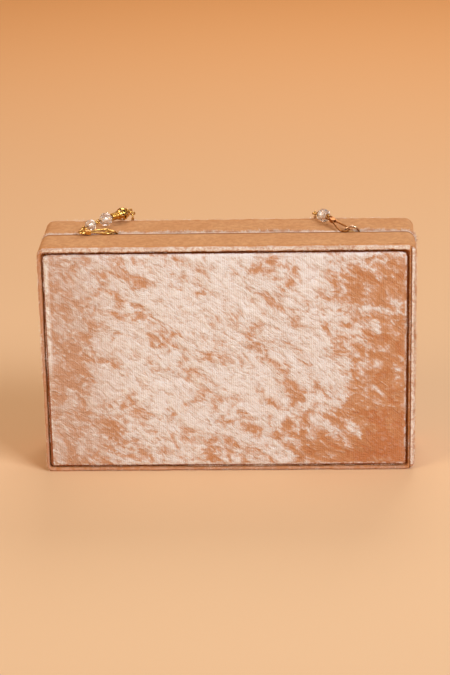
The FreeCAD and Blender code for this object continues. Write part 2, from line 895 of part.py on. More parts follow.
def edge_link(last_eye, x):
    """A link over the back edge, from a flat eye to an eye on the handle's axis."""
    axis = Vector(x, handle_y, handle_z)
    level_way = unit(Vector(axis.x - last_eye.x, axis.y - last_eye.y, 0))
    hook = hooked_distance(
        pin_eye_radius, pin_wire_diameter, pin_eye_radius, link_wire_diameter, edge_link_clearance
    )
    origin = last_eye + level_way * hook
    fall = unit(Vector(0, axis.y - origin.y, axis.z - origin.z))
    far = axis - fall * link_eye_radius
    way = unit(far - origin)
    near_eye = torus(origin, way.cross(Z_AXIS), pin_eye_radius, link_wire_diameter)
    far_eye = torus(far, X_AXIS.cross(fall), link_eye_radius, link_wire_diameter)
    rod = cylinder(
        link_wire_diameter / 2, origin + way * pin_eye_radius, far - way * link_eye_radius
    )
    return fused([near_eye, rod, far_eye])


# ---- hanging loop --------------------------------------------------------------------------------
def end_eye_centre(x):
    """The middle of an end eye, which hangs from the link's wire on the handle's axis."""
    drop = end_eye_radius - link_wire_diameter - link_clearance
    return Vector(x, handle_y, handle_z - drop)


def end_eye(x, next_point):
    """An eye hung on the handle's axis, with the crimp that grips the handle's wire."""
    centre = end_eye_centre(x)
    eye = torus(centre, X_AXIS, end_eye_radius, link_wire_diameter)
    top = centre - Z_AXIS * end_eye_radius
    way = unit(next_point - top)
    crimp = cylinder(crimp_diameter / 2, top, top + way * crimp_length)
    grip = cylinder(handle_wire_diameter / 2, wire_end(x, next_point), next_point)
    return fused([eye, crimp]).cut(grip)


def wire_end(x, next_point):
    """Where the handle's wire starts inside its crimp."""
    top = end_eye_centre(x) - Z_AXIS * end_eye_radius
    return top + unit(next_point - top) * (crimp_length * 0.4)


def route_points():
    """The handle's route in the case's axes, starting and ending inside the crimps."""
    points = [Vector(x, handle_y, case_height + z) for x, z in handle_route]
    points[0] = wire_end(handle_left_x, points[1])
    points[-1] = wire_end(handle_right_x, points[-2])
    return points


def rounded_route(points):
    """Straight runs joined by arcs as large as the runs allow."""
    edges = []
    start = points[0]
    for before, corner, after in zip(points, points[1:], points[2:]):
        way_in = unit(corner - before)
        way_out = unit(after - corner)
        turn = way_in.getAngle(way_out)
        setback = 0.45 * min((corner - before).Length, (after - corner).Length)
        radius = setback / math.tan(turn / 2)
        inward = unit(way_out - way_in)
        middle = corner + inward * (radius / math.cos(turn / 2) - radius)
        arc_start = corner - way_in * setback
        arc_end = corner + way_out * setback
        edges.append(Part.LineSegment(start, arc_start).toShape())
        edges.append(Part.Arc(arc_start, middle, arc_end).toShape())
        start = arc_end
        print("handle route: turn %.1f degrees, radius %.1f mm" % (math.degrees(turn), radius))
    edges.append(Part.LineSegment(start, points[-1]).toShape())
    return edges


def place_on_route(edges, distance):
    """The point and the way along the route at a distance from its start."""
    for edge in edges:
        if distance <= edge.Length:
            parameter = edge.getParameterByLength(distance)
            return edge.valueAt(parameter), edge.tangentAt(parameter)
        distance -= edge.Length
    last = edges[-1]
    return last.valueAt(last.LastParameter), last.tangentAt(last.LastParameter)


def handle_wire(edges):
    """The handle's wire along its route."""
    first = edges[0]
    section = Part.Circle(first.valueAt(first.FirstParameter), first.tangentAt(0),
                          handle_wire_diameter / 2).toShape()
    tube = Part.Wire(edges).makePipeShell([Part.Wire([section])], True, False)
    length = sum(edge.Length for edge in edges)
    area = math.pi * handle_wire_diameter ** 2 / 4
    print("handle wire: length %.1f mm, volume %.2f, section times length %.2f"
          % (length, tube.Volume, area * length))
    return tube


def handle_beads(edges):
    """Crystals and gold beads in turn, with discs between, spread evenly along the wire."""
    length = sum(edge.Length for edge in edges)
    crimped = crimp_length * 0.6
    room = length - 2 * crimped
    gold_length = gold_bead_diameter * math.cos(math.radians(gold_bead_angles[0]))
    pattern = [
        ("crystal", crystal(crystal_diameter, handle_bore_diameter), crystal_diameter),
        ("disc", disc(), disc_length),
        ("gold", gold_bead(), gold_length),
        ("disc", disc(), disc_length),
    ]
    repeat = sum(item[2] + handle_bead_gap for item in pattern)
    repeats = int((room - crystal_diameter - 2 * handle_bead_gap) / repeat)
    order = pattern * repeats + pattern[:1]
    gap = (room - sum(item[2] for item in order)) / (len(order) + 1)
    beads = {"crystal": [], "disc": [], "gold": []}
    start = crimped + gap
    for kind, bead, bead_length in order:
        middle, way = place_on_route(edges, start + bead_length / 2)
        offset = bead_length / 2
        if kind == "gold":
            offset = gold_bead_diameter / 2
        beads[kind].append(placed(bead, middle - way * offset, way, Y_AXIS))
        start += bead_length + gap
    return beads


# ---- the whole purse ---------------------------------------------------------------------------
def half_pieces(name, is_back):
    """The pieces of one half of the case."""
    notch_depth = ring_notch_depth if is_back else ring_front_notch_depth
    frame = wall_frame(notch_depth)
    if is_back:
        frame = frame.cut(Part.makeCompound([tab_rivet_hole(left_ring_x), tab_rivet_hole(right_ring_x)]))
    pieces = {
        "wall_frame": frame,
        "face_board": face_board(),
        "side_velvet": side_velvet(notch_depth),
        "rim_piping": rim_piping(),
        "panel_card": panel_card(),
        "panel_foam": panel_foam(),
        "panel_velvet": panel_velvet(),
        "lining": lining(is_back),
        "magnets": Part.makeCompound(magnet_bars(0)),
        "hinge_rivets": Part.makeCompound(hinge_rivets()),
    }
    if not is_back:
        pieces = {key: mirrored(shape) for key, shape in pieces.items()}
    return {name + "_" + key: shape for key, shape in pieces.items()}


def hinge_pieces():
    """The leaves and pins of the two hinges."""
    pieces = {}
    for name, x in zip(("left", "right"), hinge_centres()):
        pieces[name + "_hinge_back_leaf"] = hinge_leaf(x, False)
        pieces[name + "_hinge_front_leaf"] = mirrored(hinge_leaf(x, True))
        pieces[name + "_hinge_pin"] = hinge_pin(x)
    return pieces


def ring_pieces():
    """The rings, their tabs and the tabs' rivets."""
    return {
        "left_ring": half_ring(left_ring_x, left_ring_lean),
        "right_ring": half_ring(right_ring_x, right_ring_lean),
        "left_ring_tab": ring_tab(left_ring_x),
        "right_ring_tab": ring_tab(right_ring_x),
        "ring_tab_rivets": Part.makeCompound([tab_rivet(left_ring_x), tab_rivet(right_ring_x)]),
    }


def clasp_pieces():
    """Both clasps: the hook, the gate and its pin."""
    pieces = {}
    for name, (start, way, across) in clasp_places().items():
        pieces[name + "_clasp_hook"] = placed(clasp_hook(), start, way, across)
        pieces[name + "_clasp_gate"] = placed(clasp_gate(), start, way, across)
        pieces[name + "_clasp_pin"] = placed(clasp_pin(), start, way, across)
        pivot = placed(Part.Vertex(gate_pivot()), start, way, across).Point
        axis = way.cross(across)
        print("%s gate: pivot %s axis %s" % (name, tuple(round(v, 4) for v in pivot),
                                             tuple(round(v, 5) for v in unit(axis))))
    return pieces


def left_lead_pieces():
    """The jump ring, pins and beads of the left end of the handle, lying on the case."""
    start, way, _ = clasp_places()["left"]
    eye = start + way * clasp_length
    lean = unit(jump_ring_way)
    ring_centre = eye + lean * jump_ring_reach + Z_AXIS * jump_ring_lift
    jump_ring = torus(
        ring_centre, lean.cross(Z_AXIS), jump_ring_radius, jump_ring_wire_diameter
    )
    first_way = unit(small_pin_way)
    first_eye = ring_centre + lean * small_pin_reach + Z_AXIS * small_pin_lift
    small = crystal(small_crystal_diameter, pin_bore())
    first_beads, first_length = strung([small], [small_crystal_diameter], first_eye, first_way)
    first_pin = placed(eye_pin(first_length, True), first_eye, first_way, first_way.cross(Z_AXIS))
    second_way = unit(long_pin_way)
    hook = hooked_distance(
        pin_eye_radius, pin_wire_diameter, pin_eye_radius, pin_wire_diameter, link_clearance
    )
    second_eye = first_eye + first_way * first_length + second_way * hook
    beads = [crystal(crystal_diameter, pin_bore()), coiled_collar(pin_bore()),
             filigree_bead(pin_bore())]
    lengths = [crystal_diameter, collar_length, filigree_diameter]
    second_beads, second_length = strung(beads, lengths, second_eye, second_way)
    second_pin = placed(eye_pin(second_length, False), second_eye, second_way, Z_AXIS)
    last_eye = second_eye + second_way * second_length
    return {
        "left_jump_ring": jump_ring,
        "left_crystals": Part.makeCompound(first_beads + second_beads[:1]),
        "left_coiled_collar": second_beads[1],
        "left_filigree_bead": second_beads[2],
        "left_small_pin": first_pin,
        "left_long_pin": second_pin,
        "left_edge_link": edge_link(last_eye, handle_left_x),
    }


def right_lead_pieces():
    """The pin and beads of the right end of the handle, lying on the case."""
    start, way, across = clasp_places()["right"]
    eye = start + way * clasp_length
    far_centre = Vector(handle_right_x, handle_y - link_eye_radius, handle_z)
    normal = way.cross(across)
    rough_way = unit(far_centre - eye)
    level_way = unit(rough_way - normal * rough_way.dot(normal))
    hook = hooked_distance(
        clasp_eye_radius, clasp_wire_diameter, pin_eye_radius, pin_wire_diameter, link_clearance
    )
    near_centre = eye + level_way * hook
    lead_way = unit(far_centre - near_centre)
    beads = [crystal(crystal_diameter, pin_bore()), spool(pin_bore())]
    shapes, _ = strung(beads, [crystal_diameter, spool_length], near_centre, lead_way)
    near = torus(near_centre, lead_way.cross(normal), pin_eye_radius, pin_wire_diameter)
    far = torus(far_centre, Z_AXIS, link_eye_radius, link_wire_diameter)
    rod = cylinder(
        pin_wire_diameter / 2,
        near_centre + lead_way * pin_eye_radius,
        far_centre - lead_way * link_eye_radius,
    )
    return {
        "right_crystal": shapes[0],
        "right_spool": shapes[1],
        "right_pin": fused([near, rod, far]),
    }


def loop_pieces():
    """The hanging loop of the handle."""
    points = route_points()
    edges = rounded_route(points)
    end_eyes = [end_eye(handle_left_x, points[1]), end_eye(handle_right_x, points[-2])]
    beads = handle_beads(edges)
    return {
        "handle_wire": handle_wire(edges),
        "handle_crystals": Part.makeCompound(beads["crystal"]),
        "handle_gold_beads": Part.makeCompound(beads["gold"]),
        "handle_discs": Part.makeCompound(beads["disc"]),
        "handle_end_eyes": Part.makeCompound(end_eyes),
    }


def main():
    """Build every piece and write it to its own STEP file."""
    os.makedirs("parts", exist_ok=True)
    pieces = {}
    pieces.update(half_pieces("back", True))
    pieces.update(half_pieces("front", False))
    pieces.update(hinge_pieces())
    pieces.update(ring_pieces())
    pieces.update(clasp_pieces())
    pieces.update(left_lead_pieces())
    pieces.update(right_lead_pieces())
    pieces.update(loop_pieces())
    for name, shape in pieces.items():
        shape.exportStep("parts/" + name + ".step")
        box_of = shape.BoundBox
        print("%-24s solids %2d volume %9.2f valid %s  x %.1f..%.1f y %.1f..%.1f z %.1f..%.1f" % (
            name, len(shape.Solids), shape.Volume, shape.isValid(),
            box_of.XMin, box_of.XMax, box_of.YMin, box_of.YMax, box_of.ZMin, box_of.ZMax))


main()
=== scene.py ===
"""Clutch purse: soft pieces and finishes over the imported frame.

Each sub-assembly is a class. Lengths are metres: x runs along the purse, +y to its back, +z up.
"""
import logging
import math
import random
from collections.abc import Callable, Iterator
from contextlib import contextmanager
from dataclasses import dataclass, field
from enum import Enum

import bmesh
import bpy
from mathutils import Matrix, Vector, noise


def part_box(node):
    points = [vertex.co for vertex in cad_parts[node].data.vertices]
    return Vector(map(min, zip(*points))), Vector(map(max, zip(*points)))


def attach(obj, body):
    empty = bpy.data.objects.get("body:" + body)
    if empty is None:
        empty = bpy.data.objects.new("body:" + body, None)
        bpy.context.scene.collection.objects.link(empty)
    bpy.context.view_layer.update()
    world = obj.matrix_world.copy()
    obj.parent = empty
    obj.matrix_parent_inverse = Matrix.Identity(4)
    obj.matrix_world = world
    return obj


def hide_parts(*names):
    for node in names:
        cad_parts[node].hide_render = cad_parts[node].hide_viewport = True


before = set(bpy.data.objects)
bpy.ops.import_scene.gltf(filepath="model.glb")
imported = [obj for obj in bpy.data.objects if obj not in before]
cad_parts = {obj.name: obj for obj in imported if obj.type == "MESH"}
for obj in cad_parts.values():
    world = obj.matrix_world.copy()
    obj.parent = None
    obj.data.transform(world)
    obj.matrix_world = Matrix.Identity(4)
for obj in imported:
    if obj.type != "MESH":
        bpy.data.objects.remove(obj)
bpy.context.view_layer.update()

MM = 0.001
SIDES = ("left", "right")
log = logging.getLogger("purse")

Colour = tuple[float, float, float, float]


def tint(red: int, green: int, blue: int) -> Colour:
    """Linear colour from 8-bit screen values.

    Args:
        red: Red, 0 to 255.
        green: Green, 0 to 255.
        blue: Blue, 0 to 255.

    Returns:
        The colour with full alpha.
    """
    def linear(value: int) -> float:
        """One channel, linear."""
        level = value / 255
        return level / 12.92 if level <= 0.04045 else ((level + 0.055) / 1.055) ** 2.4

    return linear(red), linear(green), linear(blue), 1.0


class Half(Enum):
    """The two halves of the case, with the way that each one faces."""

    BACK = 1
    FRONT = -1

    @property
    def word(self) -> str:
        """The half's name in node names."""
        return self.name.lower()

    @property
    def body(self) -> str:
        """The body that the half is."""
        return self.word + "_half"


class Way(Enum):
    """A direction along one of the axes."""

    ALONG = 0
    DEEP = 1
    UP = 2


@dataclass(frozen=True)
class Area:
    """A rectangle in x and z."""

    left: float
    right: float
    bottom: float
    top: float

    @property
    def middle(self) -> tuple[float, float]:
        """The x and z of the middle."""
        return (self.left + self.right) / 2, (self.bottom + self.top) / 2

    @property
    def size(self) -> tuple[float, float]:
        """The width and height."""
        return self.right - self.left, self.top - self.bottom

    def inside(self, inset: float) -> "Area":
        """The same rectangle drawn in by an inset."""
        return Area(self.left + inset, self.right - inset, self.bottom + inset, self.top - inset)


def area_of(node: str) -> Area:
    """The rectangle that a CAD node fills, seen from the front.

    Args:
        node: The node's name.

    Returns:
        Its rectangle in x and z.
    """
    low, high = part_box(node)
    return Area(low[0], high[0], low[2], high[2])


# ---- modelling --------------------------------------------------------------------------------
class Bench:
    """Modelling by hand: one object at a time, with Blender's own operators."""

    @staticmethod
    def clear() -> None:
        """Leaves edit mode and deselects everything."""
        if bpy.context.object and bpy.context.object.mode != "OBJECT":
            bpy.ops.object.mode_set(mode="OBJECT")
        bpy.ops.object.select_all(action="DESELECT")

    @staticmethod
    def pick(piece: bpy.types.Object) -> None:
        """Selects one object and makes it active.

        Args:
            piece: The object.
        """
        Bench.clear()
        piece.select_set(True)
        bpy.context.view_layer.objects.active = piece

    @staticmethod
    @contextmanager
    def editing(piece: bpy.types.Object, mode: str,
                start: str = "DESELECT") -> Iterator[bmesh.types.BMesh]:
        """Edit mode on one object.

        Args:
            piece: The object to edit.
            mode: VERT, EDGE or FACE.
            start: SELECT to start with all of it selected, DESELECT with none.

        Returns:
            The mesh in edit mode, to select in.
        """
        Bench.pick(piece)
        bpy.ops.object.mode_set(mode="EDIT")
        bpy.ops.mesh.select_mode(type=mode)
        bpy.ops.mesh.select_all(action=start)
        yield bmesh.from_edit_mesh(piece.data)
        bpy.ops.object.mode_set(mode="OBJECT")

    @staticmethod
    def choose(piece: bpy.types.Object, parts: list, test: Callable[..., bool]) -> int:
        """Selects the faces, edges or points that pass a test.

        Args:
            piece: The object in edit mode.
            parts: Its faces, edges or points.
            test: Says whether one of them is wanted.

        Returns:
            How many were selected.
        """
        chosen = [part for part in parts if test(part)]
        for part in chosen:
            part.select = True
        bmesh.update_edit_mesh(piece.data)
        return len(chosen)

    @staticmethod
    def join(piece: bpy.types.Object, other: bpy.types.Object) -> None:
        """Joins another object into a piece.

        Args:
            piece: The piece, which stays.
            other: The object that it takes in.
        """
        Bench.pick(piece)
        other.select_set(True)
        bpy.ops.object.join()

    @staticmethod
    def _stand(name: str, area: Area, y: float, facing: int, add: Callable[..., set],
               **settings: int) -> bpy.types.Object:
        """Adds a flat primitive that fills a rectangle in the plane at y.

        Args:
            name: The object's name.
            area: Its rectangle.
            y: Its plane.
            facing: 1 to face the back, -1 to face the front.
            add: The operator that adds it.
            settings: The operator's own settings.

        Returns:
            The object.
        """
        Bench.clear()
        add(size=1, location=(area.middle[0], y, area.middle[1]),
            rotation=(-facing * math.pi / 2, 0, 0), **settings)
        piece = bpy.context.active_object
        piece.name = name
        piece.scale = (*area.size, 1)
        bpy.ops.object.transform_apply(location=True, rotation=True, scale=True)
        return piece

    @staticmethod
    def plate(name: str, area: Area, y: float, facing: int, radius: float,
              steps: int) -> bpy.types.Object:
        """A flat plate with round corners that stands in the plane at y.

        Args:
            name: The object's name.
            area: Its rectangle.
            y: Its plane.
            facing: 1 to face the back, -1 to face the front.
            radius: The radius of its corners.
            steps: The number of edges in each corner.

        Returns:
            The plate.
        """
        piece = Bench._stand(name, area, y, facing, bpy.ops.mesh.primitive_plane_add)
        with Bench.editing(piece, "VERT", "SELECT"):
            bpy.ops.mesh.bevel(offset=radius, segments=steps, affect="VERTICES")
        return piece

    @staticmethod
    def divide(piece: bpy.types.Object, way: Way, cuts: int, least: float) -> None:
        """Divides the long edges that run one way, and the faces between them.

        Args:
            piece: The object.
            way: The way the edges run.
            cuts: How many times each is cut.
            least: The length below which an edge is left.
        """
        def wanted(edge: bmesh.types.BMEdge) -> bool:
            """Whether an edge is long and runs that way."""
            run = edge.verts[1].co - edge.verts[0].co
            return run.length > least and abs(run[way.value]) > 0.99 * run.length

        with Bench.editing(piece, "EDGE") as mesh:
            Bench.choose(piece, mesh.edges, wanted)
            bpy.ops.mesh.subdivide(number_cuts=cuts)

    @staticmethod
    def cut_out(piece: bpy.types.Object, low: Vector, high: Vector) -> None:
        """Cuts a box-shaped opening in a sheet.

        Args:
            piece: The sheet.
            low: The opening's lowest corner.
            high: Its highest corner.
        """
        for axis in range(3):
            for corner in (low, high):
                normal = Vector((0, 0, 0))
                normal[axis] = 1
                with Bench.editing(piece, "FACE", "SELECT"):
                    bpy.ops.mesh.bisect(plane_co=corner, plane_no=normal)

        def within(face: bmesh.types.BMFace) -> bool:
            """Whether a face lies in the opening."""
            middle = face.calc_center_median()
            return all(low[i] < middle[i] < high[i] for i in range(3))

        with Bench.editing(piece, "FACE") as mesh:
            if Bench.choose(piece, mesh.faces, within):
                bpy.ops.mesh.delete(type="FACE")

    @staticmethod
    def grid(name: str, area: Area, y: float, facing: int, cells: tuple[int, int],
             radius: float) -> bpy.types.Object:
        """A sheet of cells with round corners that stands in the plane at y.

        Args:
            name: The object's name.
            area: Its rectangle.
            y: Its plane.
            facing: 1 to face the back, -1 to face the front.
            cells: The number of cells along it and up it.
            radius: The radius of its corners.

        Returns:
            The sheet.
        """
        piece = Bench._stand(name, area, y, facing, bpy.ops.mesh.primitive_grid_add,
                             x_subdivisions=cells[0], y_subdivisions=cells[1])
        half = Vector(area.size) / 2 - Vector((radius, radius))
        for point in piece.data.vertices:
            x = point.co.x - area.middle[0]
            z = point.co.z - area.middle[1]
            past = Vector((abs(x), abs(z))) - half
            if past.x > 0 and past.y > 0:
                past *= max(past.x, past.y) / past.length
                point.co.x = area.middle[0] + math.copysign(half.x + past.x, x)
                point.co.z = area.middle[1] + math.copysign(half.y + past.y, z)
        return piece

    @staticmethod
    def draw_out(piece: bpy.types.Object, area: Area, radius: float,
                 steps: list[tuple[float, float]]) -> None:
        """Draws the open edge of a sheet out, step by step.

        Args:
            piece: The sheet.
            area: Its rectangle.
            radius: The radius of its corners.
            steps: For each step, how far the edge moves out, and its new y.
        """
        half = Vector(area.size) / 2 - Vector((radius, radius))
        for out, y in steps:
            with Bench.editing(piece, "EDGE") as mesh:
                Bench.choose(piece, mesh.edges, lambda edge: edge.is_boundary)
                bpy.ops.mesh.extrude_region_move()
            with Bench.editing(piece, "VERT") as mesh:
                for point in mesh.verts:
                    if point.is_boundary:
                        x = point.co.x - area.middle[0]
                        z = point.co.z - area.middle[1]
                        past = Vector((max(abs(x) - half.x, 0), max(abs(z) - half.y, 0)))
                        past = past.normalized() * out
                        point.co.x += math.copysign(past.x, x)
                        point.co.z += math.copysign(past.y, z)
                        point.co.y = y
                bmesh.update_edit_mesh(piece.data)

    @staticmethod
    def modify(piece: bpy.types.Object, kind: str, **settings: object) -> None:
        """Adds a modifier and applies it.

        Args:
            piece: The object.
            kind: The modifier's type.
            settings: Its settings.
        """
        Bench.pick(piece)
        made = piece.modifiers.new(kind.title(), kind)
        for name, value in settings.items():
            setattr(made, name, value)
        bpy.ops.object.modifier_apply(modifier=made.name)

    @staticmethod
    def ruffle(piece: bpy.types.Object, height: float, span: float, seed: float) -> None:
        """Moves each point along its normal by soft noise.

        Args:
            piece: The object.
            height: The largest move.
            span: The size of the noise.
            seed: Which noise.
        """
        shift = Vector((seed * 7.1, seed * 3.3, seed * 5.7))
        moves = [
            point.normal * height * noise.noise(point.co / span + shift)
            for point in piece.data.vertices
        ]
        for point, move in zip(piece.data.vertices, moves):
            point.co += move

    @staticmethod
    def smooth(piece: bpy.types.Object, angle: float) -> None:
        """Shades an object smooth, with edges sharper than an angle in degrees kept."""
        Bench.pick(piece)
        bpy.ops.object.shade_smooth_by_angle(angle=math.radians(angle))

    @staticmethod
    def outward(piece: bpy.types.Object) -> None:
        """Merges doubled points and turns every face outwards.

        Args:
            piece: The object.
        """
        with Bench.editing(piece, "VERT", "SELECT"):
            bpy.ops.mesh.remove_doubles(threshold=0.01 * MM)
            bpy.ops.mesh.normals_make_consistent(inside=False)


# ---- materials --------------------------------------------------------------------------------
@dataclass(frozen=True)
class Cloud:
    """A kind of cloudy noise.

    scale is in clouds per metre, detail is the number of finer layers, roughness is their
    strength, and distortion is how much the clouds are stirred.
    """

    scale: float
    detail: float
    roughness: float
    distortion: float = 0.0


class Desk:
    """Places and joins the nodes of one material or node group."""

    def __init__(self, tree: bpy.types.NodeTree) -> None:
        """Starts on a tree."""
        self.tree = tree

    def node(self, kind: str, sockets: dict | None = None,
             **settings: object) -> bpy.types.Node:
        """Adds a node.

        Args:
            kind: Its type, without the prefix that all share.
            sockets: Values or sockets for its inputs, by name or number.
            settings: Its own settings.

        Returns:
            The node.
        """
        made = self.tree.nodes.new("ShaderNode" + kind)
        for name, value in settings.items():
            setattr(made, name, value)
        self.feed_all(made, sockets or {})
        return made

    def feed_all(self, node: bpy.types.Node, sockets: dict) -> None:
        """Joins or sets several inputs of a node, by name or number."""
        for name, value in sockets.items():
            self.feed(node.inputs[name], value)

    def feed(self, socket: bpy.types.NodeSocket, value: object) -> None:
        """Joins a socket to another, or gives it a value.

        Args:
            socket: The socket.
            value: The other socket, or the value.
        """
        if isinstance(value, bpy.types.NodeSocket):
            self.tree.links.new(value, socket)
        else:
            socket.default_value = value

    def sum(self, operation: str, first: object, second: object = 0.0,
            third: object = 0.0) -> bpy.types.NodeSocket:
        """A calculation on two or three numbers, kept between nought and one if CLAMPED.

        Args:
            operation: The node's operation.
            first: The first number.
            second: The second number.
            third: The third number.

        Returns:
            The result.
        """
        made = self.node("Math", {0: first, 1: second, 2: third}, operation=operation)
        return made.outputs[0]

    def mix(self, factor: object, first: object, second: object,
            mode: str = "MIX") -> bpy.types.NodeSocket:
        """A mix of two colours.

        Args:
            factor: How much of the second.
            first: The first colour.
            second: The second colour.
            mode: The way they mix.

        Returns:
            The colour.
        """
        made = self.node("Mix", {0: factor, 6: first, 7: second}, data_type="RGBA",
                         blend_type=mode)
        return made.outputs[2]

    def ramp(self, factor: object, stops: list[tuple[float, Colour]]) -> bpy.types.NodeSocket:
        """A colour that changes with a number.

        Args:
            factor: The number.
            stops: Each place and its colour.

        Returns:
            The colour.
        """
        made = self.node("ValToRGB", {0: factor})
        band = made.color_ramp.elements
        while len(band) < len(stops):
            band.new(0.5)
        for element, (place, colour) in zip(band, stops):
            element.position = place
            element.color = colour
        return made.outputs[0]

    def noise(self, vector: object, cloud: Cloud) -> bpy.types.NodeSocket:
        """Cloudy noise.

        Args:
            vector: Where it is read.
            cloud: Its kind.

        Returns:
            The noise, nought to one.
        """
        made = self.node("TexNoise", {
            "Vector": vector, "Scale": cloud.scale, "Detail": cloud.detail,
            "Roughness": cloud.roughness, "Distortion": cloud.distortion})
        return made.outputs[0]

    def step(self, value: object, start: float, end: float, low: float = 0.0,
             high: float = 1.0) -> bpy.types.NodeSocket:
        """A smooth step from one value to another.

        Args:
            value: The number that moves it.
            start: Where it starts.
            end: Where it ends.
            low: Its value before the start.
            high: Its value after the end.

        Returns:
            The stepped value.
        """
        made = self.node("MapRange", {0: value, 1: start, 2: end, 3: low, 4: high},
                         interpolation_type="SMOOTHSTEP")
        return made.outputs[0]

    def bump(self, height: object, distance: float, strength: float = 1.0) -> bpy.types.NodeSocket:
        """A bumped normal.

        Args:
            height: The height, nought to one.
            distance: The height that one stands for.
            strength: How much of it shows.

        Returns:
            The normal.
        """
        made = self.node("Bump", {"Height": height, "Distance": distance, "Strength": strength})
        return made.outputs[0]

    def times(self, first: object, second: object) -> bpy.types.NodeSocket:
        """The product of two numbers."""
        return self.sum("MULTIPLY", first, second)

    def place(self) -> bpy.types.NodeSocket:
        """The object's own coordinates."""
        return self.node("TexCoord").outputs["Object"]

    def part(self, vector: object, way: Way) -> bpy.types.NodeSocket:
        """One part of a vector."""
        return self.node("SeparateXYZ", {0: vector}).outputs[way.value]

    def vector(self, operation: str, first: object,
               second: object = (0, 0, 0)) -> bpy.types.NodeSocket:
        """A calculation on two vectors.

        Args:
            operation: The node's operation.
            first: The first vector.
            second: The second vector.

        Returns:
            The result.
        """
        return self.node("VectorMath", {0: first, 1: second}, operation=operation).outputs[0]

    def squeeze(self, vector: object, turn: float, scale: tuple) -> bpy.types.NodeSocket:
        """Coordinates turned about y and then scaled.

        Args:
            vector: The coordinates.
            turn: The turn in degrees.
            scale: The scale along each axis.

        Returns:
            The new coordinates.
        """
        turned = self.node("VectorRotate", {"Vector": vector, "Angle": math.radians(turn)},
                           rotation_type="Y_AXIS")
        return self.node("Mapping", {"Vector": turned.outputs[0], "Scale": scale}).outputs[0]

    def group(self, tree: bpy.types.NodeTree, sockets: dict) -> bpy.types.Node:
        """Places a node group.

        Args:
            tree: The group.
            sockets: Values or sockets for its inputs.

        Returns:
            The group's node.
        """
        made = self.node("Group")
        made.node_tree = tree
        self.feed_all(made, sockets)
        return made


# Drift, patches, creases and fibres of a crushed pile: turn in degrees, scale along the lie,
# weight in the lie, and kind of noise.
PILE_LAYERS = (
    (-34, 0.6, 1.8, Cloud(42, 2, 0.5)),
    (-30, 0.55, 3.0, Cloud(160, 3, 0.5, 0.7)),
    (-32, 0.55, 1.2, Cloud(470, 3, 0.6, 0.4)),
    (-38, 0.4, 0.8, Cloud(1350, 3, 0.65)),
)


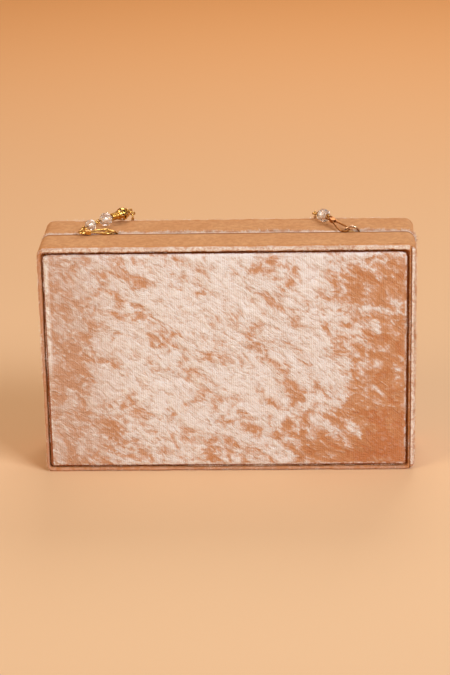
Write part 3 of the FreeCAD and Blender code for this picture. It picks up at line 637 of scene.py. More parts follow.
class SharedEffects:
    """Node groups that the finishes use, each built once."""

    @staticmethod
    def _start(name: str, inputs: dict[str, str], outputs: dict[str, str]
               ) -> tuple[bpy.types.NodeTree, Desk, bpy.types.Node, bpy.types.Node]:
        """A new group with its sockets.

        Args:
            name: The group's name.
            inputs: The type of each input.
            outputs: The type of each output.

        Returns:
            The tree, a desk on it, and its input and output nodes.
        """
        tree = bpy.data.node_groups.new(name, "ShaderNodeTree")
        for way, sockets in (("INPUT", inputs), ("OUTPUT", outputs)):
            for label, kind in sockets.items():
                tree.interface.new_socket(name=label, in_out=way, socket_type="NodeSocket" + kind)
        desk = Desk(tree)
        return tree, desk, tree.nodes.new("NodeGroupInput"), tree.nodes.new("NodeGroupOutput")

    @staticmethod
    def crushed_pile() -> bpy.types.NodeTree:
        """Patches, creases and fibres of a crushed pile.

        Returns:
            A group that puts out the lie of the pile, its creases, fibres and height.
        """
        found = bpy.data.node_groups.get("Crushed pile")
        if found:
            return found
        tree, desk, given, out = SharedEffects._start(
            "Crushed pile", {"Vector": "Vector", "Share": "Float"},
            {"Lie": "Float", "Crush": "Float", "Fibre": "Float", "Height": "Float"})
        place = given.outputs["Vector"]
        stir = desk.node("TexNoise", {"Vector": place, "Scale": 30.0, "Detail": 2.0})
        stirred = desk.vector("SUBTRACT", stir.outputs["Color"], (0.5, 0.5, 0.5))
        stirred = desk.node("VectorMath", {0: stirred, "Scale": 0.012}, operation="SCALE")
        way = desk.vector("ADD", place, stirred.outputs[0])
        lie = given.outputs["Share"]
        layers = []
        for turn, length, weight, cloud in PILE_LAYERS:
            layers.append(desk.noise(desk.squeeze(way, turn, (length, 1, 1)), cloud))
            lie = desk.sum("MULTIPLY_ADD", desk.sum("SUBTRACT", layers[-1], 0.5), weight, lie)
        crush, fibre = layers[2:]
        lie = desk.node("MapRange", {0: lie, 1: -0.6, 2: 1.0}).outputs[0]
        height = desk.sum("MULTIPLY_ADD", crush, 0.75, desk.times(lie, 0.25))
        height = desk.sum("MULTIPLY_ADD", fibre, 0.25, height)
        desk.feed_all(out, {"Lie": lie, "Crush": crush, "Fibre": fibre, "Height": height})
        return tree

    @staticmethod
    def ribbed_back() -> bpy.types.NodeTree:
        """The fine upright rib that a velvet's ground cloth shows through its pile.

        Returns:
            A group that puts out the rib.
        """
        found = bpy.data.node_groups.get("Ribbed ground")
        if found:
            return found
        tree, desk, given, out = SharedEffects._start(
            "Ribbed ground", {"Vector": "Vector", "Spacing": "Float"}, {"Rib": "Float"})
        frequency = desk.sum("DIVIDE", 0.314, given.outputs["Spacing"])
        rib = desk.node("TexWave", {
            "Vector": given.outputs["Vector"], "Scale": frequency, "Distortion": 1.2,
            "Detail": 2.0, "Detail Scale": 1.4}, wave_type="BANDS", bands_direction="X")
        broken = desk.noise(given.outputs["Vector"], Cloud(420, 2, 0.6))
        desk.feed(out.inputs["Rib"], desk.times(rib.outputs["Fac"], broken))
        return tree

    @staticmethod
    def margin() -> bpy.types.NodeTree:
        """The distance in from the edges of a rectangle in x and z, less than nought outside.

        Returns:
            A group that puts out the distance from the nearest edge and from the left one.
        """
        found = bpy.data.node_groups.get("Margin")
        if found:
            return found
        tree, desk, given, out = SharedEffects._start(
            "Margin", {"Vector": "Vector", "Middle": "Vector", "Half size": "Vector"},
            {"Margin": "Float", "Left": "Float"})
        half = given.outputs["Half size"]
        moved = desk.vector("SUBTRACT", given.outputs["Vector"], given.outputs["Middle"])
        inward = desk.vector("SUBTRACT", half, desk.vector("ABSOLUTE", moved))
        nearest = desk.sum("MINIMUM", desk.part(inward, Way.ALONG), desk.part(inward, Way.UP))
        left = desk.part(desk.vector("ADD", moved, half), Way.ALONG)
        desk.feed_all(out, {"Margin": nearest, "Left": left})
        return tree

    @staticmethod
    def handling() -> bpy.types.NodeTree:
        """Marks that handling leaves on metal.

        Returns:
            A group that puts out smudges, and scratches as a height.
        """
        found = bpy.data.node_groups.get("Handling marks")
        if found:
            return found
        tree, desk, given, out = SharedEffects._start(
            "Handling marks", {"Vector": "Vector"}, {"Smudge": "Float", "Scratch": "Float"})
        smudge = desk.noise(given.outputs["Vector"], Cloud(900, 4, 0.6, 0.5))
        fine = desk.node("Mapping", {"Vector": given.outputs["Vector"],
                                     "Scale": (1.0, 6.0, 3.0)})
        scratch = desk.noise(fine.outputs[0], Cloud(2400, 2, 0.7))
        desk.feed_all(out, {"Smudge": desk.step(smudge, 0.35, 0.7), "Scratch": scratch})
        return tree


@dataclass(frozen=True)
class Finish:
    """A finish: a named material with nodes of its own."""

    name: str

    def material(self) -> bpy.types.Material:
        """The material, built the first time it is wanted.

        Returns:
            The material.
        """
        found = bpy.data.materials.get(self.name)
        if found:
            return found
        made = bpy.data.materials.new(self.name)
        made.use_nodes = True
        desk = Desk(made.node_tree)
        self.dress(desk, made.node_tree.nodes["Principled BSDF"])
        return made

    def dress(self, desk: Desk, shader: bpy.types.Node) -> None:
        """Sets the shader up.

        Args:
            desk: The material's nodes.
            shader: Its shader.
        """
        raise NotImplementedError


def margin_of(desk: Desk, place: bpy.types.NodeSocket, area: Area) -> bpy.types.Node:
    """The margin group, set to a rectangle.

    Args:
        desk: The material's nodes.
        place: The coordinates.
        area: The rectangle.

    Returns:
        The group's node.
    """
    return desk.group(SharedEffects.margin(), {
        "Vector": place, "Middle": (area.middle[0], 0, area.middle[1]),
        "Half size": (area.size[0] / 2, 0, area.size[1] / 2)})


@dataclass(frozen=True)
class CrushedVelvet(Finish):
    """Crushed velvet whose pile lies pale one way and copper the other."""

    area: Area
    mirror: float = 1.0
    ember: Colour = tint(198, 128, 82)
    deep: Colour = tint(204, 146, 102)
    copper: Colour = tint(210, 158, 122)
    rose: Colour = tint(220, 186, 168)
    champagne: Colour = tint(233, 221, 216)
    pale: Colour = tint(243, 242, 245)
    mauve: Colour = tint(204, 170, 152)
    # Painted highlight colour, used on the crests, the fibre tips and the turned edges.
    white: Colour = tint(252, 252, 253)
    # Painted shade colour for the panel's turned-down edge down in the groove.
    under: Colour = tint(158, 90, 46)
    rib_spacing: float = 1.15 * MM
    pile_depth: float = 1.8 * MM
    broken: Cloud = Cloud(260, 3, 0.6)

    def dress(self, desk: Desk, shader: bpy.types.Node) -> None:
        """Sets the shader up.

        Args:
            desk: The material's nodes.
            shader: Its shader.
        """
        place = desk.place()
        across = desk.node("MapRange", {
            0: desk.part(place, Way.ALONG), 1: self.area.left * self.mirror,
            2: self.area.right * self.mirror}).outputs[0]
        up = desk.node("MapRange", {0: desk.part(place, Way.UP), 1: self.area.bottom,
                                    2: self.area.top}).outputs[0]
        pile = desk.group(SharedEffects.crushed_pile(),
                          {"Vector": place, "Share": self._share(desk, across, up)})
        rib = desk.group(SharedEffects.ribbed_back(),
                         {"Vector": place, "Spacing": self.rib_spacing})
        lie, fibre = pile.outputs["Lie"], pile.outputs["Fibre"]
        colour = desk.ramp(lie, [
            (0.0, self.ember), (0.33, self.deep), (0.5, self.copper), (0.64, self.rose),
            (0.78, self.champagne), (1.0, self.pale)])
        colour = desk.mix(desk.step(across, 0.03, 0.28, 0.55, 0.0), colour, self.mauve)
        colour = desk.mix(desk.times(rib.outputs["Rib"], 0.3), colour, self.copper)
        # Painted shade: mauve in the creases of the crushed pile, where its height is low; then
        # copper between the fibres, partly random fibre tone and partly painted shade.
        colour = desk.mix(desk.step(pile.outputs["Crush"], 0.3, 0.48, 0.4, 0.0), colour,
                          self.mauve)
        colour = desk.mix(desk.step(fibre, 0.3, 0.55, 0.2, 0.0), colour, self.copper)
        # Painted highlight: white on the crests of the crushed pile and on the fibre tips.
        bright = desk.sum("ADD", desk.step(pile.outputs["Crush"], 0.52, 0.7, 0.0, 0.45),
                          desk.step(fibre, 0.55, 0.75, 0.0, 0.3))
        bright = desk.times(bright, desk.step(lie, 0.35, 0.75, 0.3, 1.0))
        colour = desk.mix(bright, colour, self.white)
        margin = margin_of(desk, place, self.area)
        # Painted highlight in white along the panel's turned edges.
        colour = desk.mix(self._edge_light(desk, place, up, margin), colour, self.white)
        # Painted shade: dark brown on the panel's turned-down edge, down in the groove round it.
        ragged = desk.sum("MULTIPLY_ADD", desk.sum("SUBTRACT", fibre, 0.5), 0.8 * MM,
                          margin.outputs["Margin"])
        under = desk.step(ragged, 0.0, 0.35 * MM, 0.95, 0.0)
        colour = desk.mix(under, colour, self.under)
        height = desk.sum("MULTIPLY_ADD", rib.outputs["Rib"], 0.15, pile.outputs["Height"])
        desk.feed_all(shader, {
            "Base Color": colour, "Roughness": desk.step(lie, 0.0, 1.0, 0.95, 0.75),
            "Normal": desk.bump(height, self.pile_depth, 0.75), "Sheen Weight": 0.1,
            "Sheen Roughness": 0.35, "Sheen Tint": self.copper, "Specular IOR Level": 0.08})

    def _share(self, desk: Desk, across: bpy.types.NodeSocket,
               up: bpy.types.NodeSocket) -> bpy.types.NodeSocket:
        """How much of the pile lies pale in each place.

        Args:
            desk: The material's nodes.
            across: The place along the panel, nought to one.
            up: The place up the panel, nought to one.

        Returns:
            The share.
        """
        share = desk.step(across, 0.74, 0.96, 0.86, 0.06)
        share = desk.sum("ADD", share, desk.step(across, 0.04, 0.2, -0.34, 0.0))
        share = desk.sum("ADD", share, desk.step(up, 0.0, 0.24, -0.26, 0.0))
        low = desk.times(desk.step(up, 0.1, 0.5, 1.0, 0.0),
                       desk.step(across, 0.5, 0.75))
        share = desk.sum("MULTIPLY_ADD", low, -0.42, share)
        high = desk.times(desk.step(up, 0.82, 0.98), desk.step(across, 0.8, 0.95))
        return desk.sum("MULTIPLY_ADD", high, 0.2, share)

    def _edge_light(self, desk: Desk, place: bpy.types.NodeSocket,
                    up: bpy.types.NodeSocket, margin: bpy.types.Node) -> bpy.types.NodeSocket:
        """Where a painted highlight lies on the turned edge of the panel, all round and broader up
        its left edge.

        Args:
            desk: The material's nodes.
            place: The coordinates.
            up: The place up the panel, nought to one.
            margin: The margin group set to the panel.

        Returns:
            How strong the painted highlight is.
        """
        broken = desk.noise(place, self.broken)
        all_round = desk.times(desk.step(margin.outputs["Margin"], 0.4 * MM, 1.6 * MM,
                                                   0.8, 0.0), desk.step(broken, 0.42, 0.6))
        left = desk.times(desk.step(margin.outputs["Left"], 1.4 * MM, 3.4 * MM, 0.9,
                                              0.0), desk.step(up, 0.3, 0.62))
        left = desk.times(left, desk.step(broken, 0.3, 0.55))
        return desk.sum("MAXIMUM", all_round, left)


@dataclass(frozen=True)
class PlainVelvet(Finish):
    """Velvet that was brushed one way, as on the sides."""

    # The mouth colour is painted light along the mouth edge: a pale highlight on the back half, the
    # dark shadow of the seam gap on the front half.
    mouth: Colour
    mouth_width: float
    base: Colour = tint(214, 158, 110)
    light: Colour = tint(222, 170, 122)
    dark: Colour = tint(188, 130, 84)
    nap_depth: float = 0.4 * MM
    soft: Cloud = Cloud(60, 3, 0.55, 0.6)
    nap: Cloud = Cloud(1500, 3, 0.7)
    grain: Cloud = Cloud(420, 3, 0.6)

    def dress(self, desk: Desk, shader: bpy.types.Node) -> None:
        """Sets the shader up.

        Args:
            desk: The material's nodes.
            shader: Its shader.
        """
        place = desk.place()
        soft = desk.noise(place, self.soft)
        nap = desk.noise(place, self.nap)
        grain = desk.noise(place, self.grain)
        colour = desk.mix(desk.step(soft, 0.35, 0.68), self.base, self.light)
        colour = desk.mix(desk.step(grain, 0.35, 0.65, 0.5, 0.0), colour, self.dark)
        colour = desk.mix(desk.step(nap, 0.3, 0.6, 0.45, 0.0), colour, self.dark)
        # Painted light along the mouth: a pale highlight on the back half, the seam gap's dark
        # shadow on the front half.
        depth = desk.sum("ABSOLUTE", desk.part(place, Way.DEEP))
        mouth = desk.times(desk.step(depth, 0.5 * self.mouth_width, self.mouth_width,
                                               0.95, 0.0), desk.step(grain, 0.3, 0.5, 0.6, 1.0))
        colour = desk.mix(mouth, colour, self.mouth)
        height = desk.sum("MULTIPLY_ADD", grain, 0.6, nap)
        desk.feed_all(shader, {
            "Base Color": colour, "Roughness": desk.step(nap, 0.2, 0.8, 0.82, 0.98),
            "Normal": desk.bump(height, self.nap_depth, 0.6), "Sheen Weight": 0.15,
            "Sheen Roughness": 0.4, "Sheen Tint": self.light, "Specular IOR Level": 0.1})


@dataclass(frozen=True)
class PipedVelvet(Finish):
    """The rim's velvet, with a painted highlight on its crest and painted shade in its groove, on
    its left and bottom sides and in the fold on the right.
    """

    area: Area
    face: float
    # groove is painted shade in the groove, crest a painted highlight, turned painted shade on the
    # left and bottom sides, and the fold colour painted shade in the fold on the right.
    groove: Colour = tint(176, 102, 54)
    slope: Colour = tint(208, 148, 104)
    crest: Colour = tint(252, 244, 236)
    side: Colour = tint(212, 150, 98)
    turned: Colour = tint(200, 132, 84)
    fold: Colour = tint(108, 56, 26)
    stray: float = 3.2 * MM
    pile_depth: float = 0.9 * MM
    broken: Cloud = Cloud(420, 4, 0.65)
    nap: Cloud = Cloud(1300, 3, 0.7)

    def dress(self, desk: Desk, shader: bpy.types.Node) -> None:
        """Sets the shader up.

        Args:
            desk: The material's nodes.
            shader: Its shader.
        """
        place = desk.place()
        margin = margin_of(desk, place, self.area)
        broken = desk.noise(place, self.broken)
        nap = desk.noise(place, self.nap)
        stray = desk.times(desk.sum("SUBTRACT", broken, 0.5), self.stray)
        out = desk.sum("SUBTRACT", stray, margin.outputs["Margin"])
        # Painted shade: the groove colour down in the groove, then the slope.
        colour = desk.mix(desk.step(out, 1.0 * MM, 1.4 * MM), self.groove, self.slope)
        # Painted highlight: near-white on the rim's crest, broken by noise.
        crest_highlight = desk.times(desk.step(out, 1.4 * MM, 2.0 * MM),
                          desk.step(broken, 0.36, 0.52, 0.35, 1.0))
        colour = desk.mix(crest_highlight, colour, self.crest)
        # Painted shade: a darker tan along the rim's left and bottom sides, where it faces away
        # from the lamps.
        low = desk.sum("SUBTRACT", desk.part(place, Way.UP), self.area.bottom)
        away = desk.sum("MINIMUM", low, margin.outputs["Left"])
        away = desk.sum("MULTIPLY_ADD", stray, 0.3, away)
        colour = desk.mix(desk.step(away, -0.6 * MM, 0.2 * MM, 0.8, 0.0), colour, self.turned)
        right = desk.sum("SUBTRACT", margin.outputs["Left"], self.area.size[0])
        right = desk.sum("MULTIPLY_ADD", stray, 0.2, right)
        tuck = desk.times(desk.step(right, 1.0 * MM, 1.3 * MM),
                        desk.step(right, 2.4 * MM, 2.8 * MM, 1.0, 0.0))
        colour = desk.mix(tuck, colour, self.side)
        # Painted shade: a dark line in the fold of the rim's right side.
        fold = desk.times(desk.step(right, 1.8 * MM, 2.1 * MM),
                        desk.step(right, 2.4 * MM, 2.7 * MM, 0.95, 0.0))
        colour = desk.mix(fold, colour, self.fold)
        depth = desk.sum("ABSOLUTE", desk.part(place, Way.DEEP))
        depth = desk.sum("MULTIPLY_ADD", stray, 0.4, depth)
        behind = desk.times(desk.step(depth, self.face - 1.6 * MM,
                                                self.face - 0.5 * MM, 1.0, 0.0),
                          desk.step(out, 1.3 * MM, 2.0 * MM))
        colour = desk.mix(behind, colour, self.side)
        colour = desk.mix(desk.step(nap, 0.35, 0.55, 0.5, 0.0), colour, self.slope)
        height = desk.sum("MULTIPLY_ADD", broken, 0.8, nap)
        desk.feed_all(shader, {
            "Base Color": colour, "Roughness": desk.step(nap, 0.2, 0.8, 0.82, 0.98),
            "Normal": desk.bump(height, self.pile_depth, 0.7), "Sheen Weight": 0.06,
            "Sheen Roughness": 0.4, "Sheen Tint": self.slope, "Specular IOR Level": 0.05})


@dataclass(frozen=True)
class PileStrand(Finish):
    """Single strands of the pile along an edge, coloured near white as a painted highlight of pile
    that catches the light.
    """

    base: Colour = tint(248, 236, 224)
    shade: Colour = tint(222, 178, 146)
    patch: Cloud = Cloud(320, 4, 0.6)

    def dress(self, desk: Desk, shader: bpy.types.Node) -> None:
        """Sets the shader up.

        Args:
            desk: The material's nodes.
            shader: Its shader.
        """
        patch = desk.noise(desk.place(), self.patch)
        desk.feed_all(shader, {
            "Base Color": desk.mix(desk.step(patch, 0.4, 0.62), self.shade, self.base),
            "Roughness": desk.step(patch, 0.2, 0.8, 0.6, 0.85), "Sheen Weight": 0.1,
            "Sheen Roughness": 0.5, "Sheen Tint": self.shade, "Specular IOR Level": 0.1})


@dataclass(frozen=True)
class Satin(Finish):
    """Satin lining with a fine slanting weave."""

    base: Colour = tint(226, 190, 158)
    shade: Colour = tint(200, 156, 120)
    soft: Cloud = Cloud(60, 3, 0.5, 0.8)
    weave: Cloud = Cloud(4200, 2, 0.6)
    weave_depth: float = 0.6 * MM

    def dress(self, desk: Desk, shader: bpy.types.Node) -> None:
        """Sets the shader up.

        Args:
            desk: The material's nodes.
            shader: Its shader.
        """
        place = desk.place()
        soft = desk.noise(place, self.soft)
        weave = desk.noise(desk.squeeze(place, 45, (0.12, 1, 1)), self.weave)
        height = desk.sum("MULTIPLY_ADD", weave, 0.25, soft)
        desk.feed_all(shader, {
            "Base Color": desk.mix(desk.step(soft, 0.3, 0.7), self.shade, self.base),
            "Roughness": desk.step(soft, 0.2, 0.8, 0.3, 0.45),
            "Normal": desk.bump(height, self.weave_depth, 0.5), "Sheen Weight": 0.15,
            "Anisotropic": 0.4})


@dataclass(frozen=True)
class Metal(Finish):
    """Plated or bare metal with the marks of handling."""

    bright: Colour
    dull: Colour
    rough: float
    depth: float = 0.03 * MM

    def dress(self, desk: Desk, shader: bpy.types.Node) -> None:
        """Sets the shader up.

        Args:
            desk: The material's nodes.
            shader: Its shader.
        """
        marks = desk.group(SharedEffects.handling(), {"Vector": desk.place()})
        smudge = marks.outputs["Smudge"]
        desk.feed_all(shader, {
            "Base Color": desk.mix(smudge, self.bright, self.dull),
            "Roughness": desk.step(smudge, 0.0, 1.0, self.rough, self.rough + 0.12),
            "Normal": desk.bump(marks.outputs["Scratch"], self.depth, 0.5), "Metallic": 1.0})


@dataclass(frozen=True)
class PiercedMetal(Metal):
    """Metal of a hollow pierced bead, with painted shade inside the hollow."""

    mark: str = "hollow"
    # Painted shade colour for the bead's inner wall, so that its holes look dark.
    soot: Colour = tint(64, 26, 8)

    def dress(self, desk: Desk, shader: bpy.types.Node) -> None:
        """Sets the shader up.

        Args:
            desk: The material's nodes.
            shader: Its shader.
        """
        super().dress(desk, shader)
        hollow = desk.node("Attribute", {}, attribute_name=self.mark).outputs["Fac"]
        hollow = desk.step(hollow, 0.25, 0.6)
        gold = shader.inputs["Base Color"].links[0].from_socket
        # Painted shade: the inner wall of the hollow bead is painted dark.
        desk.feed_all(shader, {
            "Base Color": desk.mix(hollow, gold, self.soot),
            "Roughness": desk.step(hollow, 0.0, 1.0, self.rough, 0.9)})


@dataclass(frozen=True)
class CutCrystal(Finish):
    """Clear cut glass."""

    clear: Colour = (0.99, 0.985, 0.98, 1.0)
    warm: Colour = (0.97, 0.94, 0.91, 1.0)
    haze: Cloud = Cloud(600, 3, 0.5)

    def dress(self, desk: Desk, shader: bpy.types.Node) -> None:
        """Sets the shader up.

        Args:
            desk: The material's nodes.
            shader: Its shader.
        """
        haze = desk.noise(desk.place(), self.haze)
        desk.feed_all(shader, {
            "Base Color": desk.mix(desk.step(haze, 0.4, 0.7), self.clear, self.warm),
            "Roughness": desk.step(haze, 0.3, 0.8, 0.0, 0.03), "Transmission Weight": 0.85,
            "IOR": 1.54})


@dataclass(frozen=True)
class Fibre(Finish):
    """Board, card or foam: pressed fibres or cells with a grain."""

    base: Colour
    fleck: Colour
    grain: float
    depth: float
    stain: Cloud = Cloud(45, 2, 0.5)

    def dress(self, desk: Desk, shader: bpy.types.Node) -> None:
        """Sets the shader up.

        Args:
            desk: The material's nodes.
            shader: Its shader.
        """
        place = desk.place()
        grain = desk.noise(place, Cloud(self.grain, 4, 0.7))
        stain = desk.noise(place, self.stain)
        colour = desk.mix(desk.step(grain, 0.45, 0.75), self.base, self.fleck)
        colour = desk.mix(desk.step(stain, 0.4, 0.8, 0.0, 0.2), colour, self.fleck)
        desk.feed_all(shader, {
            "Base Color": colour, "Roughness": desk.step(grain, 0.2, 0.8, 0.8, 0.95),
            "Normal": desk.bump(grain, self.depth, 0.7)})


@dataclass(frozen=True)
class StudioPaper(Finish):
    """The pale paper that the purse stands on."""

    base: Colour = tint(233, 196, 156)
    far: Colour = tint(246, 178, 112)
    near: Colour = tint(218, 184, 146)
    grain: Cloud = Cloud(900, 3, 0.6)

    def dress(self, desk: Desk, shader: bpy.types.Node) -> None:
        """Sets the shader up.

        Args:
            desk: The material's nodes.
            shader: Its shader.
        """
        place = desk.place()
        grain = desk.noise(place, self.grain)
        depth = desk.part(place, Way.DEEP)
        # Painted falloff of light: darker, oranger paper towards the back wall.
        colour = desk.mix(desk.step(depth, 0.0, 1.7), self.base, self.far)
        # Painted shade: darker paper towards the front.
        colour = desk.mix(desk.step(depth, -0.5, -0.1, 1.0, 0.0), colour, self.near)
        colour = desk.mix(desk.step(grain, 0.3, 0.8, 0.0, 0.08), colour, self.far)
        desk.feed_all(shader, {
            "Base Color": colour, "Roughness": 0.9, "Specular IOR Level": 0.1})


SIDE_VELVET = {
    # The mouth colours are painted light: a pale highlight on the back half's mouth, the dark
    # shadow of the seam gap on the front half's.
    Half.BACK: PlainVelvet("Side velvet back", tint(240, 220, 206), 1.6 * MM),
    Half.FRONT: PlainVelvet("Side velvet front", tint(140, 88, 50), 3.4 * MM),
}
STRANDS = PileStrand("Pile strands")
SATIN = Satin("Satin lining")
GOLD_WIRE = Metal("Gold wire", tint(248, 208, 124), tint(150, 92, 36), 0.18)
AGED_WIRE = Metal("Aged gold wire", tint(180, 118, 60), tint(112, 64, 26), 0.3)
ROSE_WIRE = Metal("Rose gold wire", tint(248, 220, 192), tint(150, 98, 62), 0.2)
GOLD_BEAD = Metal("Gold beads", tint(250, 206, 114), tint(150, 92, 32), 0.2)
HINGE_BRASS = Metal("Hinge brass", tint(222, 184, 118), tint(168, 126, 70), 0.32, 0.06 * MM)
MAGNET_METAL = Metal("Plated magnet", tint(214, 212, 208), tint(168, 166, 164), 0.28)
CRYSTAL = CutCrystal("Cut crystal")
GREY_BOARD = Fibre("Grey board", tint(172, 160, 146), tint(128, 116, 104), 1500, 0.2 * MM)
CARD = Fibre("Panel card", tint(150, 98, 62), tint(118, 74, 44), 1800, 0.1 * MM)
FOAM = Fibre("Panel foam", tint(236, 228, 210), tint(206, 192, 166), 2600, 0.3 * MM)


def finish_nodes(finish: Finish, *nodes: str) -> None:
    """Gives CAD nodes a finish.

    Args:
        finish: The finish.
        nodes: The nodes' names.
    """
    for node in nodes:
        for place in bpy.data.objects[node].material_slots:
            place.material = finish.material()
    log.info("%s: %s", finish.name, ", ".join(nodes))


def hand_over(piece: bpy.types.Object, finish: Finish, slot: str, body: str,
              *nodes: str) -> bpy.types.Object:
    """Finishes a piece and sets it on its body.

    Args:
        piece: The piece.
        finish: Its finish.
        slot: Not used.
        body: The body that it rides on.
        nodes: The CAD nodes that it replaces.

    Returns:
        The piece.
    """
    piece.data.materials.clear()
    piece.data.materials.append(finish.material())
    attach(piece, body)
    if nodes:
        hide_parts(*nodes)
    log.info("%s: %d faces", piece.name, len(piece.data.polygons))
    return piece


# ---- the soft pieces of a half -------------------------------------------------------------------
@dataclass
class SoftPiece:
    """A fabric piece of one half of the case."""

    half: Half
    corner_steps: int = field(default=7, kw_only=True)
    long_side: float = field(default=50 * MM, kw_only=True)

    @property
    def sign(self) -> int:
        """1 on the back half, -1 on the front one."""
        return self.half.value

    def node(self, name: str) -> str:
        """A node's name on this half."""
        return f"{self.half.word}_{name}"

    def reach(self, node: str) -> tuple[float, float]:
        """The least and greatest distance of a node from the seam plane."""
        low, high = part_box(self.node(node))
        return tuple(sorted((abs(low[1]), abs(high[1]))))

    def hand_over(self, piece: bpy.types.Object, finish: Finish, slot: str,
                  *nodes: str) -> bpy.types.Object:
        """Finishes a piece and sets it on its half.

        Args:
            piece: The piece.
            finish: Its finish.
            slot: The material slot that it stands for.
            nodes: The CAD nodes that it replaces, without the half's name.

        Returns:
            The piece.
        """
        return hand_over(piece, finish, slot, self.half.body, *map(self.node, nodes))

    def cut_round(self, piece: bpy.types.Object, node: str, room: float,
                  depths: tuple[float, float], heights: tuple[float, float]) -> None:
        """Cuts a sheet clear of a CAD node.

        Args:
            piece: The sheet.
            node: The node's name.
            room: The room at each side of it.
            depths: The opening's start and end, from the seam plane.
            heights: Its bottom and top.
        """
        low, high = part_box(node)
        near, far = sorted(self.sign * depth for depth in depths)
        Bench.cut_out(piece, Vector((low[0] - room, near, heights[0])),
                      Vector((high[0] + room, far, heights[1])))


@dataclass
class SideWrap(SoftPiece):
    """The velvet strip round the sides, turned over the mouth of the board."""

    corner: float = 5 * MM
    skin: float = 0.7 * MM
    turn: float = 0.9 * MM
    turn_steps: int = 4
    lip: float = 2.3 * MM
    cuts: tuple[int, int] = (66, 42)
    deep_cuts: int = 7
    ring_room: float = 0.6 * MM
    ring_depth: float = 3.2 * MM
    front_ring_depth: float = 1.0 * MM
    hinge_room: float = 0.4 * MM
    hinge_top: float = 4.2 * MM
    barrel: float = 1.9 * MM
    past: float = 1 * MM
    pin_radius: float = 0.8 * MM
    relief_slant: float = math.tan(math.radians(32))

    def build(self) -> bpy.types.Object:
        """Models the strip.

        Returns:
            The strip.
        """
        area = area_of(self.node("side_velvet"))
        near, far = self.reach("side_velvet")
        piece = Bench.plate(self.node("side_wrap"), area, self.sign * far, -self.sign,
                            self.corner, self.corner_steps)
        with Bench.editing(piece, "FACE", "SELECT"):
            bpy.ops.mesh.extrude_region_move(
                TRANSFORM_OT_translate={"value": (0, -self.sign * (far - near - self.turn), 0)})
            for step in range(self.turn_steps):
                start, end = (math.pi / 2 * (step + i) / self.turn_steps for i in (0, 1))
                bpy.ops.mesh.inset(
                    thickness=self.turn * (math.cos(start) - math.cos(end)),
                    depth=self.turn * (math.sin(end) - math.sin(start)))
            bpy.ops.mesh.inset(thickness=self.lip, depth=0)
            bpy.ops.mesh.delete(type="FACE")
        self._open_far_side(piece, far)
        for way, cuts in zip((Way.ALONG, Way.UP), self.cuts):
            Bench.divide(piece, way, cuts, self.long_side)
        Bench.divide(piece, Way.DEEP, self.deep_cuts, 10 * MM)
        self._notch(piece, area)
        self._relieve(piece, near)
        Bench.outward(piece)
        Bench.ruffle(piece, height=0.12 * MM, span=14 * MM, seed=self.sign)
        Bench.modify(piece, "SOLIDIFY", thickness=self.skin, offset=-1.0)
        Bench.smooth(piece, 50)
        return self.hand_over(piece, SIDE_VELVET[self.half], "velvet", "side_velvet")

    def _open_far_side(self, piece: bpy.types.Object, far: float) -> None:
        """Takes away the face that the strip was drawn out of, if there is one.

        Args:
            piece: The strip.
            far: The distance of that face from the seam plane.
        """
        with Bench.editing(piece, "FACE") as mesh:
            found = Bench.choose(piece, mesh.faces, lambda face: all(
                abs(abs(corner.co.y) - far) < 1e-6 for corner in face.verts))
            if found:
                bpy.ops.mesh.delete(type="FACE")

    def _notch(self, piece: bpy.types.Object, area: Area) -> None:
        """Cuts the strip for the rings and for the barrels of the hinges.

        Args:
            piece: The strip.
            area: Its rectangle.
        """
        deep = self.ring_depth if self.half is Half.BACK else self.front_ring_depth
        for side in SIDES:
            self.cut_round(piece, f"{side}_ring", self.ring_room, (-self.past, deep),
                           (area.top - self.corner, area.top + self.past))
            self.cut_round(piece, f"{side}_hinge_pin", self.hinge_room,
                           (-self.past, self.barrel + self.hinge_room),
                           (-self.past, self.hinge_top))

    def _relieve(self, piece: bpy.types.Object, near: float) -> None:
        """Slants the bottom edge back so that the case can open.

        Args:
            piece: The strip.
            near: The distance of the mouth from the seam plane.
        """
        axis_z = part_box("left_hinge_pin")[0][2] + self.pin_radius
        for point in piece.data.vertices:
            if point.co.z < axis_z:
                least = near + (axis_z - point.co.z) * self.relief_slant
                if abs(point.co.y) < least:
                    point.co.y = self.sign * least


@dataclass(frozen=True)
class Slack:
    """How far the padding pushes the foot and the left edge of the panel outwards."""

    panel: Area
    rim: Area
    left: tuple[float, float] = (1.5 * MM, 0.3 * MM)
    foot: float = 0.8 * MM
    fade: float = 12 * MM

    def shift(self, x: float, z: float) -> tuple[float, float]:
        """How far a point moves.

        Args:
            x: Its place along the case.
            z: Its height.

        Returns:
            The move along x and along z.
        """
        up = min(1.0, max(0.0, (z - self.panel.bottom) / self.panel.size[1]))
        lean = self.left[0] + (self.left[1] - self.left[0]) * up
        return (-lean * self._share(x, self.rim.left, self.panel.left),
                -self.foot * self._share(z, self.rim.bottom, self.panel.bottom))

    def _share(self, at: float, outside: float, edge: float) -> float:
        """How much of the move falls at a place: all of it at the panel's edge.

        Args:
            at: The place.
            outside: The rim's outer edge.
            edge: The panel's edge.

        Returns:
            The share, nought to one.
        """
        if at < edge:
            return min(1.0, max(0.0, (at - outside) / (edge - outside)))
        return max(0.0, 1 - (at - edge) / self.fade)

    def apply(self, piece: bpy.types.Object) -> None:
        """Moves the points of a piece.

        Args:
            piece: The piece.
        """
        for point in piece.data.vertices:
            along, up = self.shift(point.co.x, point.co.z)
            point.co.x += along
            point.co.z += up


